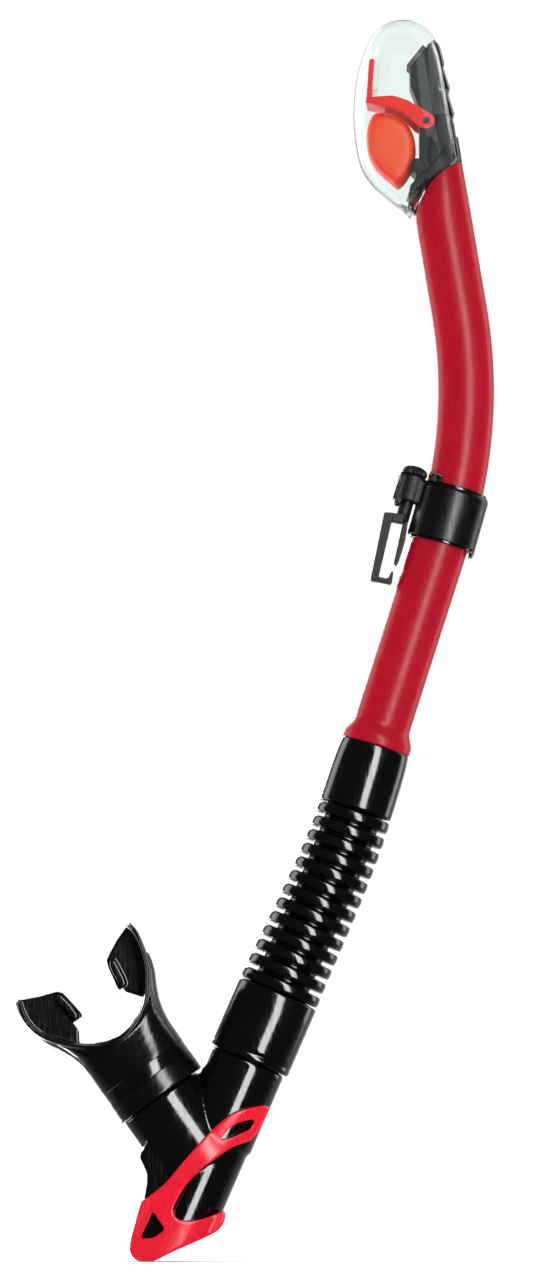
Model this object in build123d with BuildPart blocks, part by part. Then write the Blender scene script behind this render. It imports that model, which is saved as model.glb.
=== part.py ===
from build123d import *
import os
from math import atan2, cos, degrees, hypot, radians, sin

# Dry-top snorkel, in millimetres.  The origin is the centre of the mask-strap slot in the
# keeper's clip.  X runs from the mouthpiece side to the tube side, +Y is the tube's far side
# and +Z is up.  Every centreline lies in the plane Y = 0.

os.makedirs("parts", exist_ok=True)

# ---------------------------------------------------------------- driving dimensions
TUBE_R = 10.75          # outside radius of the rigid tube
TUBE_WALL = 1.75
BEND_R = 178.1          # radius of the tube's bend
BEND_CENTRE = (-150.4, 57.3)
BEND_TOP = 9.46         # angles of the bend's ends about its centre, degrees
BEND_FOOT = -17.8
UPPER_RUN = 49.6        # straight tube above the bend, to the middle of its joint with the head
LOWER_RUN = 84.0        # straight tube below the bend, to its bell
BELL_R = 13.2
BELL_LENGTH = 8.0
SPIGOT = 18.0           # tube that plugs into the hose

HOSE_WALL = 1.3
HOSE_GROOVE_R = 10.6    # outside radius at the bottom of a groove
CUFF_TOP = 25.0
CUFF_FOOT = 27.0
CUFF_FOOT_R = 15.85
RIBS = 13
RIB_WIDTH = 4.0
RIB_TOP_R = 14.0
RIB_FOOT_R = 15.75

BARREL_R = 14.5         # lower barrel, on a line that leans by BARREL_LEAN
BARREL_LEAN = 23.35
BARREL_BORE = 12.0
BARREL_RISE = 40.0      # from the crossing to the hose
CROSSING = (-69.75, -231.15)    # where the barrel's and the branch's centrelines meet
BRANCH_LEAN = -35.15
BRANCH_R = 16.3
BRANCH_LENGTH = 28.4
NECK_R = 13.6           # the branch's neck, on which the mouthpiece turns
NECK_BORE = 11.8
NECK_END = 46.0
SLEEVE_R = 18.4
RUNNING_GAP = 0.05      # radial clearance of a running fit
BODY_GAP = 0.3          # clearance between pieces that move past each other

PURGE_CENTRE = (-79.5, -263.2)
PURGE_LEAN = 155.8      # the purge axis, pointing out through the bottom

KEEPER_ANGLE = -15.66   # place of the keeper on the bend
KEEPER_LENGTH = 20.0
LINER_BORE = 11.05
LINER_R = 11.95
BAND_BORE = 12.05
BAND_R = 13.1
CLIP_LEAN = 11.6
SLOT_WIDTH = 5.0
STEM_R = 2.9

HEAD_DEPTH = 34.0
FOOT_CENTRE = (39.6, 114.1)       # the tube and the head meet on a cylinder about this line along Y
FOOT_R = 32.3
CAP_WALL = 1.2
PIVOT = (12.9, 157.9)   # axis of the float lever
PIVOT_R = 1.25
FLOAT_LIFT = 35.0       # turn of the lever from open to closed
SEAT_LEAN = -51.0       # the valve seat's normal


# ---------------------------------------------------------------- frames and shared shapes
def along(point, lean, distance):
    """The point at a distance from another, on a line that leans from +Z towards +X."""
    return (point[0] + distance * sin(radians(lean)), point[1] + distance * cos(radians(lean)))


def side(point, lean=0.0):
    """Plane of symmetry, with its origin at (x, z) and its local y along the leaning line."""
    tilt = radians(lean)
    return Plane(origin=(point[0], 0, point[1]), x_dir=(cos(tilt), 0, -sin(tilt)), z_dir=(0, -1, 0))


def across(point, lean, distance=0.0):
    """Plane square to the leaning line, with its local x along +Y."""
    foot = along(point, lean, distance)
    tilt = radians(lean)
    return Plane(origin=(foot[0], 0, foot[1]), x_dir=(0, 1, 0), z_dir=(sin(tilt), 0, cos(tilt)))


def turned(plane, *corners, mode=Mode.ADD):
    """A solid of revolution about the plane's local y, from (radius, height) corners."""
    with BuildSketch(plane) as section:
        with BuildLine():
            Polyline(*corners, close=True)
        make_face()
    revolve(section.sketch, axis=Axis(plane.origin, plane.y_dir), mode=mode)


def ring(plane, inner, outer, low, high, mode=Mode.ADD):
    """A plain tube about the plane's local y."""
    turned(plane, (inner, low), (outer, low), (outer, high), (inner, high), mode=mode)


def rod(plane, radius, low, high, mode=Mode.ADD):
    """A plain round bar along the plane's local y."""
    turned(plane, (0, low), (radius, low), (radius, high), (0, high), mode=mode)


def slab(plane, corners, half_depth, mode=Mode.ADD):
    """A straight-sided profile in the plane of symmetry, thickened equally to both sides."""
    with BuildSketch(plane) as section:
        with BuildLine():
            Polyline(*corners, close=True)
        make_face()
    extrude(section.sketch, amount=half_depth, both=True, mode=mode)


def save(piece, name):
    piece.part.label = name
    export_step(piece.part, f"parts/{name}.step")


def on_bend(angle, radius=BEND_R):
    return (
        BEND_CENTRE[0] + radius * cos(radians(angle)),
        BEND_CENTRE[1] + radius * sin(radians(angle)),
    )


bend_top = on_bend(BEND_TOP)
bend_foot = on_bend(BEND_FOOT)
tube_top = along(bend_top, -BEND_TOP, UPPER_RUN)
tube_foot = along(bend_foot, -BEND_FOOT, -LOWER_RUN)
tube_bore = TUBE_R - TUBE_WALL

# ---------------------------------------------------------------- rigid tube
with BuildPart() as main_tube:
    with BuildLine(Plane.XZ) as centreline:
        Line(along(tube_top, -BEND_TOP, 20), bend_top)
        CenterArc(BEND_CENTRE, BEND_R, BEND_TOP, BEND_FOOT - BEND_TOP)
        Line(bend_foot, along(tube_foot, -BEND_FOOT, -SPIGOT))
    with BuildSketch(across(tube_top, -BEND_TOP, 20)):
        Circle(TUBE_R)
        Circle(tube_bore, mode=Mode.SUBTRACT)
    sweep(path=centreline.line)
    # the top is cut to the round of the head's foot
    with BuildSketch(Plane.XZ) as above_foot:
        with Locations((0, 160)):
            Rectangle(120, 90)
        with Locations(FOOT_CENTRE):
            Circle(FOOT_R, mode=Mode.SUBTRACT)
    extrude(above_foot.sketch, amount=25, both=True, mode=Mode.SUBTRACT)
    # the bell swells from the tube and ends square against the hose's cuff
    turned(
        side(tube_foot, -BEND_FOOT),
        (TUBE_R - 0.5, 0),
        (BELL_R, 0),
        (BELL_R, 2.5),
        (TUBE_R, BELL_LENGTH),
        (TUBE_R - 0.5, BELL_LENGTH),
    )
save(main_tube, "main_tube")

# ---------------------------------------------------------------- flexible hose
BARREL_TOP = along(CROSSING, BARREL_LEAN, BARREL_RISE)
hose_start = along(tube_foot, -BEND_FOOT, -CUFF_TOP)
hose_end = along(BARREL_TOP, BARREL_LEAN, CUFF_FOOT)
hose_chord = (hose_start[0] - hose_end[0], hose_start[1] - hose_end[1])
hose_span = hypot(*hose_chord)
hose_side = side(hose_end, degrees(atan2(*hose_chord)))
hose_bore = HOSE_GROOVE_R - HOSE_WALL
lip_bore = hose_bore - 0.4      # the lip that stops each cuff against its spigot
HOSE_LAP = 2.0          # ribbed length that runs on into the lips
rib_pitch = hose_span / RIBS


def hose_outline():
    """Half section of the ribbed length: ring ribs, a little larger towards the lower cuff."""
    corners = [(hose_bore, -HOSE_LAP), (HOSE_GROOVE_R, -HOSE_LAP)]
    for number in range(RIBS):
        middle = (number + 0.5) * rib_pitch
        crest = RIB_FOOT_R + (RIB_TOP_R - RIB_FOOT_R) * middle / hose_span
        corners.append((HOSE_GROOVE_R, middle - RIB_WIDTH / 2))
        corners.append((crest, middle - RIB_WIDTH / 2))
        corners.append((crest, middle + RIB_WIDTH / 2))
        corners.append((HOSE_GROOVE_R, middle + RIB_WIDTH / 2))
    return corners + [(HOSE_GROOVE_R, hose_span + HOSE_LAP), (hose_bore, hose_span + HOSE_LAP)]


with BuildPart() as flex_hose:
    turned(hose_side, *hose_outline())
    turned(
        side(tube_foot, -BEND_FOOT),
        (TUBE_R, 0),
        (BELL_R, 0),
        (RIB_TOP_R, -6),
        (RIB_TOP_R, -CUFF_TOP),
        (lip_bore, -CUFF_TOP),
        (lip_bore, -SPIGOT),
        (TUBE_R, -SPIGOT),
    )
    turned(
        side(BARREL_TOP, BARREL_LEAN),
        (BARREL_BORE, 0),
        (CUFF_FOOT_R, 0),
        (CUFF_FOOT_R, CUFF_FOOT),
        (lip_bore, CUFF_FOOT),
        (lip_bore, SPIGOT),
        (BARREL_BORE, SPIGOT),
    )
save(flex_hose, "flex_hose")

# ---------------------------------------------------------------- lower barrel and purge
barrel_side = side(CROSSING, BARREL_LEAN)
branch_side = side(CROSSING, BRANCH_LEAN)
purge_side = side(PURGE_CENTRE, PURGE_LEAN)
BARREL_DROP = 40.0      # barrel below the crossing, before its slanted end is cut
SEAT_R = 12.9
SEAT_LOW = -8.0         # heights along the purge axis: 0 is the outer face of the grille
SEAT_HIGH = -6.0
CHAMBER_END = -2.7
SEAL_LOW = 33.0         # heights along the branch
SEAL_HIGH = 34.8

OVER_WIDTH = 25         # reaches past the sides of the lower body
# what the slanted foot leaves standing at its two ends
BODY_TOE = (
    (-99, -236), (-91.9, -240), (-92.0, -246), (-94.0, -255), (-96.0, -263), (-95.2, -275), (-110, -275),
)
BODY_HEEL = ((-64.9, -250), (-65.6, -254), (-68, -262), (-50, -262), (-50, -250))

with BuildPart() as lower_barrel:
    rod(barrel_side, BARREL_R, -BARREL_DROP, BARREL_RISE)
    rod(branch_side, BRANCH_R, 0, BRANCH_LENGTH)
    rod(branch_side, NECK_R, BRANCH_LENGTH - 1, NECK_END)
    rod(barrel_side, BARREL_BORE, BARREL_RISE - 1, BARREL_RISE + SPIGOT)
    # slanted foot, with its two ends drawn in under the cover
    rod(purge_side, 60, CHAMBER_END, 60, mode=Mode.SUBTRACT)
    slab(Plane.XZ, BODY_TOE, OVER_WIDTH, mode=Mode.SUBTRACT)
    slab(Plane.XZ, BODY_HEEL, OVER_WIDTH, mode=Mode.SUBTRACT)
    rod(barrel_side, BARREL_BORE - 1.8, -16, BARREL_RISE + SPIGOT + 1, mode=Mode.SUBTRACT)
    rod(branch_side, NECK_BORE, -2, NECK_END + 1, mode=Mode.SUBTRACT)
    rod(purge_side, SEAT_R - 1.6, -18, CHAMBER_END + 1, mode=Mode.SUBTRACT)
    rod(purge_side, SEAT_R, SEAT_LOW, CHAMBER_END + 1, mode=Mode.SUBTRACT)
    # groove for the neck's sealing ring
    ring(branch_side, NECK_R - 0.9, NECK_R + 1, SEAL_LOW, SEAL_HIGH, mode=Mode.SUBTRACT)
save(lower_barrel, "lower_barrel")

with BuildPart() as purge_seat:
    rod(purge_side, SEAT_R, SEAT_LOW, SEAT_HIGH)
    with BuildSketch(across(PURGE_CENTRE, PURGE_LEAN, SEAT_LOW)) as ports:
        with PolarLocations(7.0, 6):
            Circle(2.5)
        Circle(1.55)
    extrude(ports.sketch, amount=SEAT_HIGH - SEAT_LOW, mode=Mode.SUBTRACT)
save(purge_seat, "purge_seat")

PURGE_LIFT = 1.5
flap_low = SEAT_HIGH + RUNNING_GAP
with BuildPart() as purge_flap:
    # a mushroom valve: thin disc outside the seat, stem through it, bulb inside
    rod(purge_side, 10.9, flap_low, flap_low + 0.9)
    rod(purge_side, 1.5, SEAT_LOW - PURGE_LIFT - 0.5, flap_low)
    turned(
        purge_side,
        (0, SEAT_LOW - 4.2),
        (1.4, SEAT_LOW - 3.8),
        (2.4, SEAT_LOW - 1.8),
        (0, SEAT_LOW - 1.8),
    )
save(purge_flap, "purge_flap")

COVER_FLOOR = -2.4
GRILLE = 1.0            # thickness of the grille under the cover
COVER_WALL = 1.5
with BuildPart() as purge_grille:
    rod(purge_side, 13.6, -GRILLE, 0)
    with BuildSketch(across(PURGE_CENTRE, PURGE_LEAN, -GRILLE)) as slots:
        with GridLocations(0, 5.0, 1, 4):
            SlotOverall(17.0, 2.2)
    extrude(slots.sketch, amount=GRILLE, mode=Mode.SUBTRACT)
save(purge_grille, "purge_grille")

# what the cover's hollow leaves standing at its two ends
COVER_TOE = (
    (-99, -236), (-92.2, -240), (-92.3, -246), (-94.3, -255), (-96.3, -263), (-95.5, -275), (-110, -275),
)
COVER_HEEL = ((-64.6, -250), (-65.3, -254), (-67.7, -262), (-50, -262), (-50, -250))

# windows in both sides of the cover, one in the arm and one in the cup
UPPER_WINDOW = ((-64.3, -224.3), (-60.8, -219.8), (-52.1, -216.6), (-53.6, -220.3))
LOWER_WINDOW = ((-89.2, -250.9), (-85.1, -257.1), (-89.1, -260.2), (-93.4, -260.2))

# hollow for the barrel and the branch, down to the cover's floor
with BuildPart() as hollow:
    rod(barrel_side, BARREL_R + BODY_GAP, -BARREL_DROP, 40)
    rod(branch_side, BRANCH_R + BODY_GAP, 0, 40)
    rod(purge_side, 60, COVER_FLOOR, 60, mode=Mode.SUBTRACT)
    slab(Plane.XZ, COVER_TOE, OVER_WIDTH, mode=Mode.SUBTRACT)
    slab(Plane.XZ, COVER_HEEL, OVER_WIDTH, mode=Mode.SUBTRACT)

with BuildPart() as purge_cover:
    rod(barrel_side, BARREL_R + BODY_GAP + COVER_WALL, -BARREL_DROP, 26)
    rod(branch_side, BRANCH_R + BODY_GAP + COVER_WALL, 0, 20)
    rod(purge_side, 60, -GRILLE, 60, mode=Mode.SUBTRACT)
    # the side outline: a swept arm above, a rounded cup below
    with BuildSketch(Plane.XZ) as outline:
        with BuildLine():
            Spline(
                (-93.6, -246.2), (-87.0, -242.3), (-76.1, -230.4),
                (-64.5, -217.9), (-55.5, -213.0), (-45.6, -210.6),
            )
            Polyline((-45.6, -210.6), (-46.0, -213.5), (-52.5, -224.4))
            Spline((-52.5, -224.4), (-63.4, -229.5), (-75.4, -239.0), (-81.6, -249.4))
            Spline((-81.6, -249.4), (-80.2, -253.4), (-74.4, -254.1), (-63.0, -250.0))
            Polyline((-63.0, -250.0), (-60.0, -258.0), (-90.0, -272.0), (-96.6, -269.0))
            Spline((-96.6, -269.0), (-98.3, -264.8), (-95.8, -254.6), (-93.6, -246.2))
        make_face()
    extrude(outline.sketch, amount=OVER_WIDTH, both=True, mode=Mode.INTERSECT)
    add(hollow.part, mode=Mode.SUBTRACT)
    rod(purge_side, 11.4, COVER_FLOOR - 1, 0, mode=Mode.SUBTRACT)
    slab(Plane.XZ, UPPER_WINDOW, OVER_WIDTH, mode=Mode.SUBTRACT)
    slab(Plane.XZ, LOWER_WINDOW, OVER_WIDTH, mode=Mode.SUBTRACT)
save(purge_cover, "purge_cover")

# ---------------------------------------------------------------- mouthpiece and its swivel
SLEEVE_LOW = BRANCH_LENGTH + 0.35
BUSH_R = 15.6
GROOVE_LOW = 36.1
GROOVE_HIGH = 41.3
GROOVE_R = 17.2
SHOULDER = NECK_END + BODY_GAP

with BuildPart() as branch_seal:
    ring(branch_side, NECK_R - 0.9, NECK_R, SEAL_LOW, SEAL_HIGH)
save(branch_seal, "branch_seal")

with BuildPart() as branch_bush:
    ring(branch_side, NECK_R + RUNNING_GAP, BUSH_R, SLEEVE_LOW, NECK_END - 1)
save(branch_bush, "branch_bush")

with BuildPart() as mouthpiece_band:
    ring(branch_side, GROOVE_R, SLEEVE_R - 0.2, GROOVE_LOW, GROOVE_HIGH)
save(mouthpiece_band, "mouthpiece_band")

PLATE_HALF = 2.2        # half thickness of a bite plate and half height of its ridge
RIDGE_HALF = 5

with BuildPart() as mouthpiece:
    # flange, seen from above: a U that opens towards the teeth
    with BuildSketch(branch_side) as flange:
        with BuildLine():
            Spline((-17.8, 52), (-20.6, 60), (-26.4, 72), (-26.0, 83.6), (-23.4, 88.5))
            Spline(
                (-23.4, 88.5), (-20.5, 84), (-19.6, 74), (-14.5, 61.5), (0, 55.6),
                (15.5, 61.5), (20.8, 73), (22.6, 82), (26.6, 88),
            )
            Spline((26.6, 88), (27.8, 84), (26.6, 72), (21.0, 60), (17.8, 52))
            Line((17.8, 52), (-17.8, 52))
        make_face()
    extrude(flange.sketch, amount=17, both=True)
    with BuildSketch(across(CROSSING, BRANCH_LEAN, 50)) as oval:
        Ellipse(14.0, 28.5)
    extrude(oval.sketch, amount=42, mode=Mode.INTERSECT)
    # bite plates with an upstanding inner ridge on each
    for hand in (-1, 1):
        plate = [
            (hand * 14, 60), (hand * 10, 68), (hand * 8.5, 80), (hand * 12, 84),
            (hand * 21.5, 84), (hand * 21, 72), (hand * 16, 61),
        ]
        ridge = [
            (hand * 10.2, 68), (hand * 8.5, 80), (hand * 11, 83), (hand * 13, 80), (hand * 13, 69),
        ]
        slab(branch_side, plate, PLATE_HALF)
        slab(branch_side, ridge, RIDGE_HALF)
    # sleeve, with an oval air passage through the flange
    ring(branch_side, BUSH_R, SLEEVE_R, SLEEVE_LOW, SHOULDER)
    turned(
        branch_side,
        (NECK_BORE, SHOULDER),
        (SLEEVE_R, SHOULDER),
        (17.9, 52),
        (17.9, 54),
        (NECK_BORE, 54),
    )
    with BuildSketch(across(CROSSING, BRANCH_LEAN, SHOULDER)) as passage:
        Ellipse(7.5, NECK_BORE)
    extrude(passage.sketch, amount=18, mode=Mode.SUBTRACT)
    ring(branch_side, GROOVE_R, SLEEVE_R + 1, GROOVE_LOW, GROOVE_HIGH, mode=Mode.SUBTRACT)
save(mouthpiece, "mouthpiece")

# ---------------------------------------------------------------- keeper on the tube
keeper_centre = on_bend(KEEPER_ANGLE)
KEEPER_LEAN = -KEEPER_ANGLE
keeper_side = side(keeper_centre, KEEPER_LEAN)
half_keeper = KEEPER_LENGTH / 2
SOCKET_X = -16.4        # stem axis, from the tube's axis
SOCKET_R = 5.6
SOCKET_LOW = 1.5
SOCKET_HIGH = 11.8
LUG_GAP = 0.15
LINER_LIP = 1.0         # liner that shows past each end of the band

lug_start = half_keeper + LUG_GAP
near_lug = Plane(keeper_side.origin - Vector(0, 7.6, 0), x_dir=keeper_side.x_dir, z_dir=keeper_side.z_dir)

with BuildPart() as keeper_liner:
    rod(keeper_side, LINER_R, -half_keeper - LINER_LIP, half_keeper + LINER_LIP)
    # two lugs stand out past the band's ends and keep it on the liner
    slab(keeper_side, ((9, -lug_start), (13.4, -lug_start), (12.4, -15.5), (9, -15.5)), 4)
    slab(near_lug, ((-10.6, lug_start), (-4, lug_start), (-4, 14.8), (-10.0, 14.8)), 2.2)
    with BuildLine(Plane.XZ) as liner_line:
        CenterArc(BEND_CENTRE, BEND_R, KEEPER_ANGLE - 6, 12)
    with BuildSketch(Plane(liner_line.line @ 0, x_dir=(0, 1, 0), z_dir=liner_line.line % 0)) as bore:
        Circle(LINER_BORE)
    sweep(bore.sketch, path=liner_line.line, mode=Mode.SUBTRACT)
save(keeper_liner, "keeper_liner")

socket_point = along(keeper_centre, KEEPER_LEAN + 90, SOCKET_X)
socket_side = side(socket_point, KEEPER_LEAN)
with BuildPart() as keeper_band:
    turned(
        keeper_side,
        (BAND_BORE, -half_keeper),
        (BAND_R, -half_keeper),
        (BAND_R, half_keeper - 1.5),
        (BAND_R - 0.6, half_keeper),
        (BAND_BORE, half_keeper),
    )
    rod(socket_side, SOCKET_R, SOCKET_LOW, SOCKET_HIGH)
    web = ((SOCKET_X, SOCKET_LOW), (-11, SOCKET_LOW), (-11, SOCKET_HIGH - 4), (SOCKET_X, SOCKET_HIGH))
    slab(keeper_side, web, 4.6)
    rod(keeper_side, BAND_BORE, -30, 30, mode=Mode.SUBTRACT)
    rod(socket_side, STEM_R + RUNNING_GAP, 0, SOCKET_HIGH + 1, mode=Mode.SUBTRACT)
    rod(socket_side, 4.6, SOCKET_LOW - 2, SOCKET_LOW + 3.6, mode=Mode.SUBTRACT)
save(keeper_band, "keeper_band")

# ---------------------------------------------------------------- clip for the mask strap
clip_side = side((0, 0), CLIP_LEAN)
half_slot = SLOT_WIDTH / 2
HUB_TOP = SOCKET_LOW - BODY_GAP

BAR = 2.6
FOOT_BAR = 1.7
SLOT_LOW = -14.3        # foot and head of the slot, from the clip's centre
SLOT_HIGH = 8.5
CLIP_TOP = 11.5
PRONG = 4.4             # inner face of the prong at the head of the slot
pin_centre = along(socket_point, KEEPER_LEAN, SOCKET_LOW + 1.6)

clip_edge = -half_slot - BAR
clip_foot = SLOT_LOW - FOOT_BAR


def clip_block(left, low, right, high, half):
    """A straight block of the clip between two corners, half deep to each side."""
    slab(clip_side, ((left, low), (right, low), (right, high), (left, high)), half)


with BuildPart() as strap_clip:
    # outer bar, foot bar with a hooked end, inner prong and the bridge at the top
    clip_block(clip_edge, clip_foot, -half_slot, CLIP_TOP, 4.0)
    foot_bar = (
        (clip_edge, clip_foot), (2.2, clip_foot), (2.5, SLOT_LOW),
        (1.8, -11.6), (1.0, SLOT_LOW), (clip_edge, SLOT_LOW),
    )
    slab(clip_side, foot_bar, 3.0)
    prong = ((half_slot, -9.2), (half_slot + 1.3, -9.2), (PRONG, SLOT_HIGH), (half_slot, SLOT_HIGH))
    slab(clip_side, prong, 1.6)
    clip_block(clip_edge, SLOT_HIGH, half_slot, CLIP_TOP, 3.2)
    clip_block(half_slot - 1, SLOT_HIGH, PRONG, CLIP_TOP, 1.6)
    rod(socket_side, STEM_R, HUB_TOP - 5, SOCKET_HIGH + 0.3)
    with Locations(side(pin_centre)):
        Cylinder(0.8, 9, mode=Mode.SUBTRACT)
save(strap_clip, "strap_clip")

with BuildPart() as clip_pin:
    with Locations(side(pin_centre)):
        Cylinder(0.8, 7.6)
save(clip_pin, "clip_pin")

with BuildPart() as clip_knob:
    turned(
        socket_side,
        (0, SOCKET_HIGH + 0.3),
        (4.2, SOCKET_HIGH + 0.3),
        (4.2, SOCKET_HIGH + 1.3),
        (3.2, SOCKET_HIGH + 2.8),
        (0, SOCKET_HIGH + 3.5),
    )
    # serrations around the rim
    with BuildSketch(across(socket_point, KEEPER_LEAN, SOCKET_HIGH)) as notches:
        with PolarLocations(4.4, 12):
            Circle(0.5)
    extrude(notches.sketch, amount=4, mode=Mode.SUBTRACT)
save(clip_knob, "clip_knob")

# ---------------------------------------------------------------- dry-top head
CAP_OUTLINE = (
    (7.3, 123.4), (1.9, 127.1), (-6.4, 133.9), (-11.8, 141.5), (-14.4, 157.0), (-13.8, 171.0),
    (-9.6, 186.6), (-4.0, 195.0), (4.0, 197.4), (11.5, 195.4), (17.6, 188.6),
)
CAP_RIGHT = ((22.2, 167.0), (26.2, 143.0))
HEAD_MIDDLE = 6.0
HEAD_HALF_WIDTH = 20.6
PLAN_CORNER = 14.0      # corner radius of the head seen from above
head_side = side(tube_top, -BEND_TOP)
NECK_PLATE_LEAN = -49.8     # normal of the plate that closes the neck, from its lowest corner
NECK_PLATE_FOOT = (3.0, 127.3)
SPIGOT_LOW = -20.0      # foot of the head's spigot inside the tube, along the tube
SPIGOT_WALL = 1.5
SEAL_DEPTH = 0.9
LOUVRE_LOW = 158.0
LOUVRE_HIGH = 187.0
LOUVRE_HALF = 9.0


def drawn_in(point, inset):
    """An outline point of the head, moved towards the head's middle."""
    middle = (HEAD_MIDDLE, min(max(point[1], 141), 181))
    reach = hypot(point[0] - middle[0], point[1] - middle[1])
    share = inset / reach
    return (point[0] + (middle[0] - point[0]) * share, point[1] + (middle[1] - point[1]) * share)


def head_form(inset):
    """The head's outer form, or with an inset its hollow: outlines from the side, above and the front."""
    half_depth = HEAD_DEPTH / 2 - inset
    crown = [drawn_in(point, inset) for point in CAP_OUTLINE]
    back = [drawn_in(point, inset) for point in CAP_RIGHT]
    with BuildPart() as form:
        with BuildSketch(Plane.XZ) as outline:
            with BuildLine():
                Spline(*crown)
                Polyline(crown[-1], *back, crown[0])
            make_face()
        extrude(outline.sketch, amount=30, both=True)
        with BuildSketch(Plane.XY.offset(110)) as plan:
            with Locations((HEAD_MIDDLE, 0)):
                RectangleRounded(2 * (HEAD_HALF_WIDTH - inset), 2 * half_depth, PLAN_CORNER - inset)
        extrude(plan.sketch, amount=100, mode=Mode.INTERSECT)
        with BuildSketch(Plane.YZ) as front:
            with BuildLine():
                Polyline((0, 110), (9, 110), (half_depth, 152), (half_depth, 180))
                EllipticalCenterArc((0, 180), half_depth, 17.6 - inset, start_angle=0, arc_size=90)
                Line((0, 197.6 - inset), (0, 110))
            make_face()
            mirror(about=Plane.YZ)
        extrude(front.sketch, amount=60, both=True, mode=Mode.INTERSECT)
    return form.part


head_outer = head_form(0)
head_hollow = head_form(CAP_WALL)
louvre_outer = head_form(0.2)
plate_plane = side(NECK_PLATE_FOOT, NECK_PLATE_LEAN)

# neck: the tube's own outline carried on past the joint, up to a slanted plate
with BuildPart() as neck:
    rod(head_side, TUBE_R, -18, 30)
    slab(plate_plane, ((-60, 0), (60, 0), (60, 60), (-60, 60)), 30, mode=Mode.SUBTRACT)
    with Locations(side(FOOT_CENTRE)):
        Cylinder(FOOT_R, 60, mode=Mode.SUBTRACT)

DUCT_HALF = 8.0
DUCT_WALL = 1.6
HEAD_SEAL_LOW = -16.0   # the sealing ring on the spigot, from the tube's end
HEAD_SEAL_HIGH = -14.5
SEAT_DISTANCE = 17.5    # duct's slanted mouth, from the pivot along the seat's normal
SEAT_RING = 1.6
SEAT_START = 12.2       # the seat's ends along the mouth, from the foot of that normal
SEAT_END = 21.7
seat_side = side(PIVOT, SEAT_LEAN)

# side outline of the duct, and of the air passage in it
DUCT_SIDE = (
    (6.2, 130.0), (9.4, 138.0), (10.5, 146), (10.5, 163), (7.0, 171.5), (6.9, 178.4),
    (15.6, 189.1), (16.2, 172), (19.0, 160), (22.5, 150), (14, 134),
)
DUCT_PASSAGE = (
    (12, 131), (9.4, 133.6), (11.2, 139), (12.1, 147), (12.1, 163.4), (8.6, 171.9), (8.6, 182.0),
    (12.6, 186.9), (14.2, 184.0), (14.6, 172), (17.4, 159.6), (21.0, 149), (24, 137),
)

with BuildPart() as head_body:
    # neck, spigot inside the tube and a flattened duct up to the slanted valve seat
    add(neck.part)
    rod(head_side, tube_bore, SPIGOT_LOW, 0)
    slab(Plane.XZ, DUCT_SIDE, DUCT_HALF)
    rod(seat_side, 60, SEAT_DISTANCE, 60, mode=Mode.SUBTRACT)
    rod(head_side, tube_bore - SPIGOT_WALL, SPIGOT_LOW - 1, -1, mode=Mode.SUBTRACT)
    groove = tube_bore - SEAL_DEPTH
    ring(head_side, groove, tube_bore + 0.2, HEAD_SEAL_LOW, HEAD_SEAL_HIGH, mode=Mode.SUBTRACT)
    slab(Plane.XZ, DUCT_PASSAGE, DUCT_HALF - DUCT_WALL, mode=Mode.SUBTRACT)
    # holes for the two pivot pins
    with Locations(side(PIVOT)):
        Cylinder(PIVOT_R, 2 * DUCT_HALF + 1, mode=Mode.SUBTRACT)
save(head_body, "head_body")

ARM_IN = DUCT_HALF + BODY_GAP
ARM_OUT = ARM_IN + 2.0
with BuildPart() as pivot_pins:
    with Locations(side(PIVOT)):
        Cylinder(PIVOT_R, 2 * ARM_OUT + 0.6)
        Cylinder(PIVOT_R + 1, 2 * (DUCT_HALF - DUCT_WALL), mode=Mode.SUBTRACT)
save(pivot_pins, "pivot_pins")

with BuildPart() as clear_cap:
    add(head_outer)
    add(head_hollow, mode=Mode.SUBTRACT)
    add(neck.part, mode=Mode.SUBTRACT)
    with Locations(side(FOOT_CENTRE)):
        Cylinder(FOOT_R, 60, mode=Mode.SUBTRACT)
    # opening for the louvres at the back
    opening = ((15.0, LOUVRE_LOW), (40, LOUVRE_LOW), (40, LOUVRE_HIGH), (15.0, LOUVRE_HIGH))
    slab(Plane.XZ, opening, LOUVRE_HALF, mode=Mode.SUBTRACT)
save(clear_cap, "clear_cap")

with BuildPart() as louvre_guard:
    # three downward-sloping fins between two side rails
    for level in (161.5, 171.3, 181.0):
        fin = ((15.0, level + 3.2), (30, level - 4.4), (30, level - 2.6), (15.0, level + 5.0))
        slab(Plane.XZ, fin, LOUVRE_HALF)
    for hand in (-1, 1):
        with BuildSketch(Plane.XZ.offset(hand * (LOUVRE_HALF - 0.8))) as rail:
            with BuildLine():
                Polyline(
                    (17.0, LOUVRE_LOW), (30, LOUVRE_LOW), (30, LOUVRE_HIGH), (17.0, LOUVRE_HIGH),
                    close=True,
                )
            make_face()
        extrude(rail.sketch, amount=0.8, both=True)
    add(louvre_outer, mode=Mode.INTERSECT)
    with BuildSketch(Plane.XZ) as duct_side:
        with BuildLine():
            Polyline((16.2, 190), (16.4, 172), (19.3, 160), (24.9, 146), (0, 146), (0, 190), close=True)
        make_face()
    extrude(duct_side.sketch, amount=30, both=True, mode=Mode.SUBTRACT)
save(louvre_guard, "louvre_guard")

RIM_WIDTH = 1.3
rim_top = SEAT_DISTANCE + SEAT_RING
with BuildPart() as seat_ring:
    # flat rim standing on the duct's slanted mouth
    rim = (
        (SEAT_START, SEAT_DISTANCE), (SEAT_END, SEAT_DISTANCE),
        (SEAT_END, rim_top), (SEAT_START, rim_top),
    )
    mouth = (
        (SEAT_START + RIM_WIDTH, SEAT_DISTANCE), (SEAT_END - RIM_WIDTH, SEAT_DISTANCE),
        (SEAT_END - RIM_WIDTH, rim_top), (SEAT_START + RIM_WIDTH, rim_top),
    )
    slab(seat_side, rim, DUCT_HALF)
    slab(seat_side, mouth, DUCT_HALF - DUCT_WALL, mode=Mode.SUBTRACT)
save(seat_ring, "seat_ring")

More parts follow.
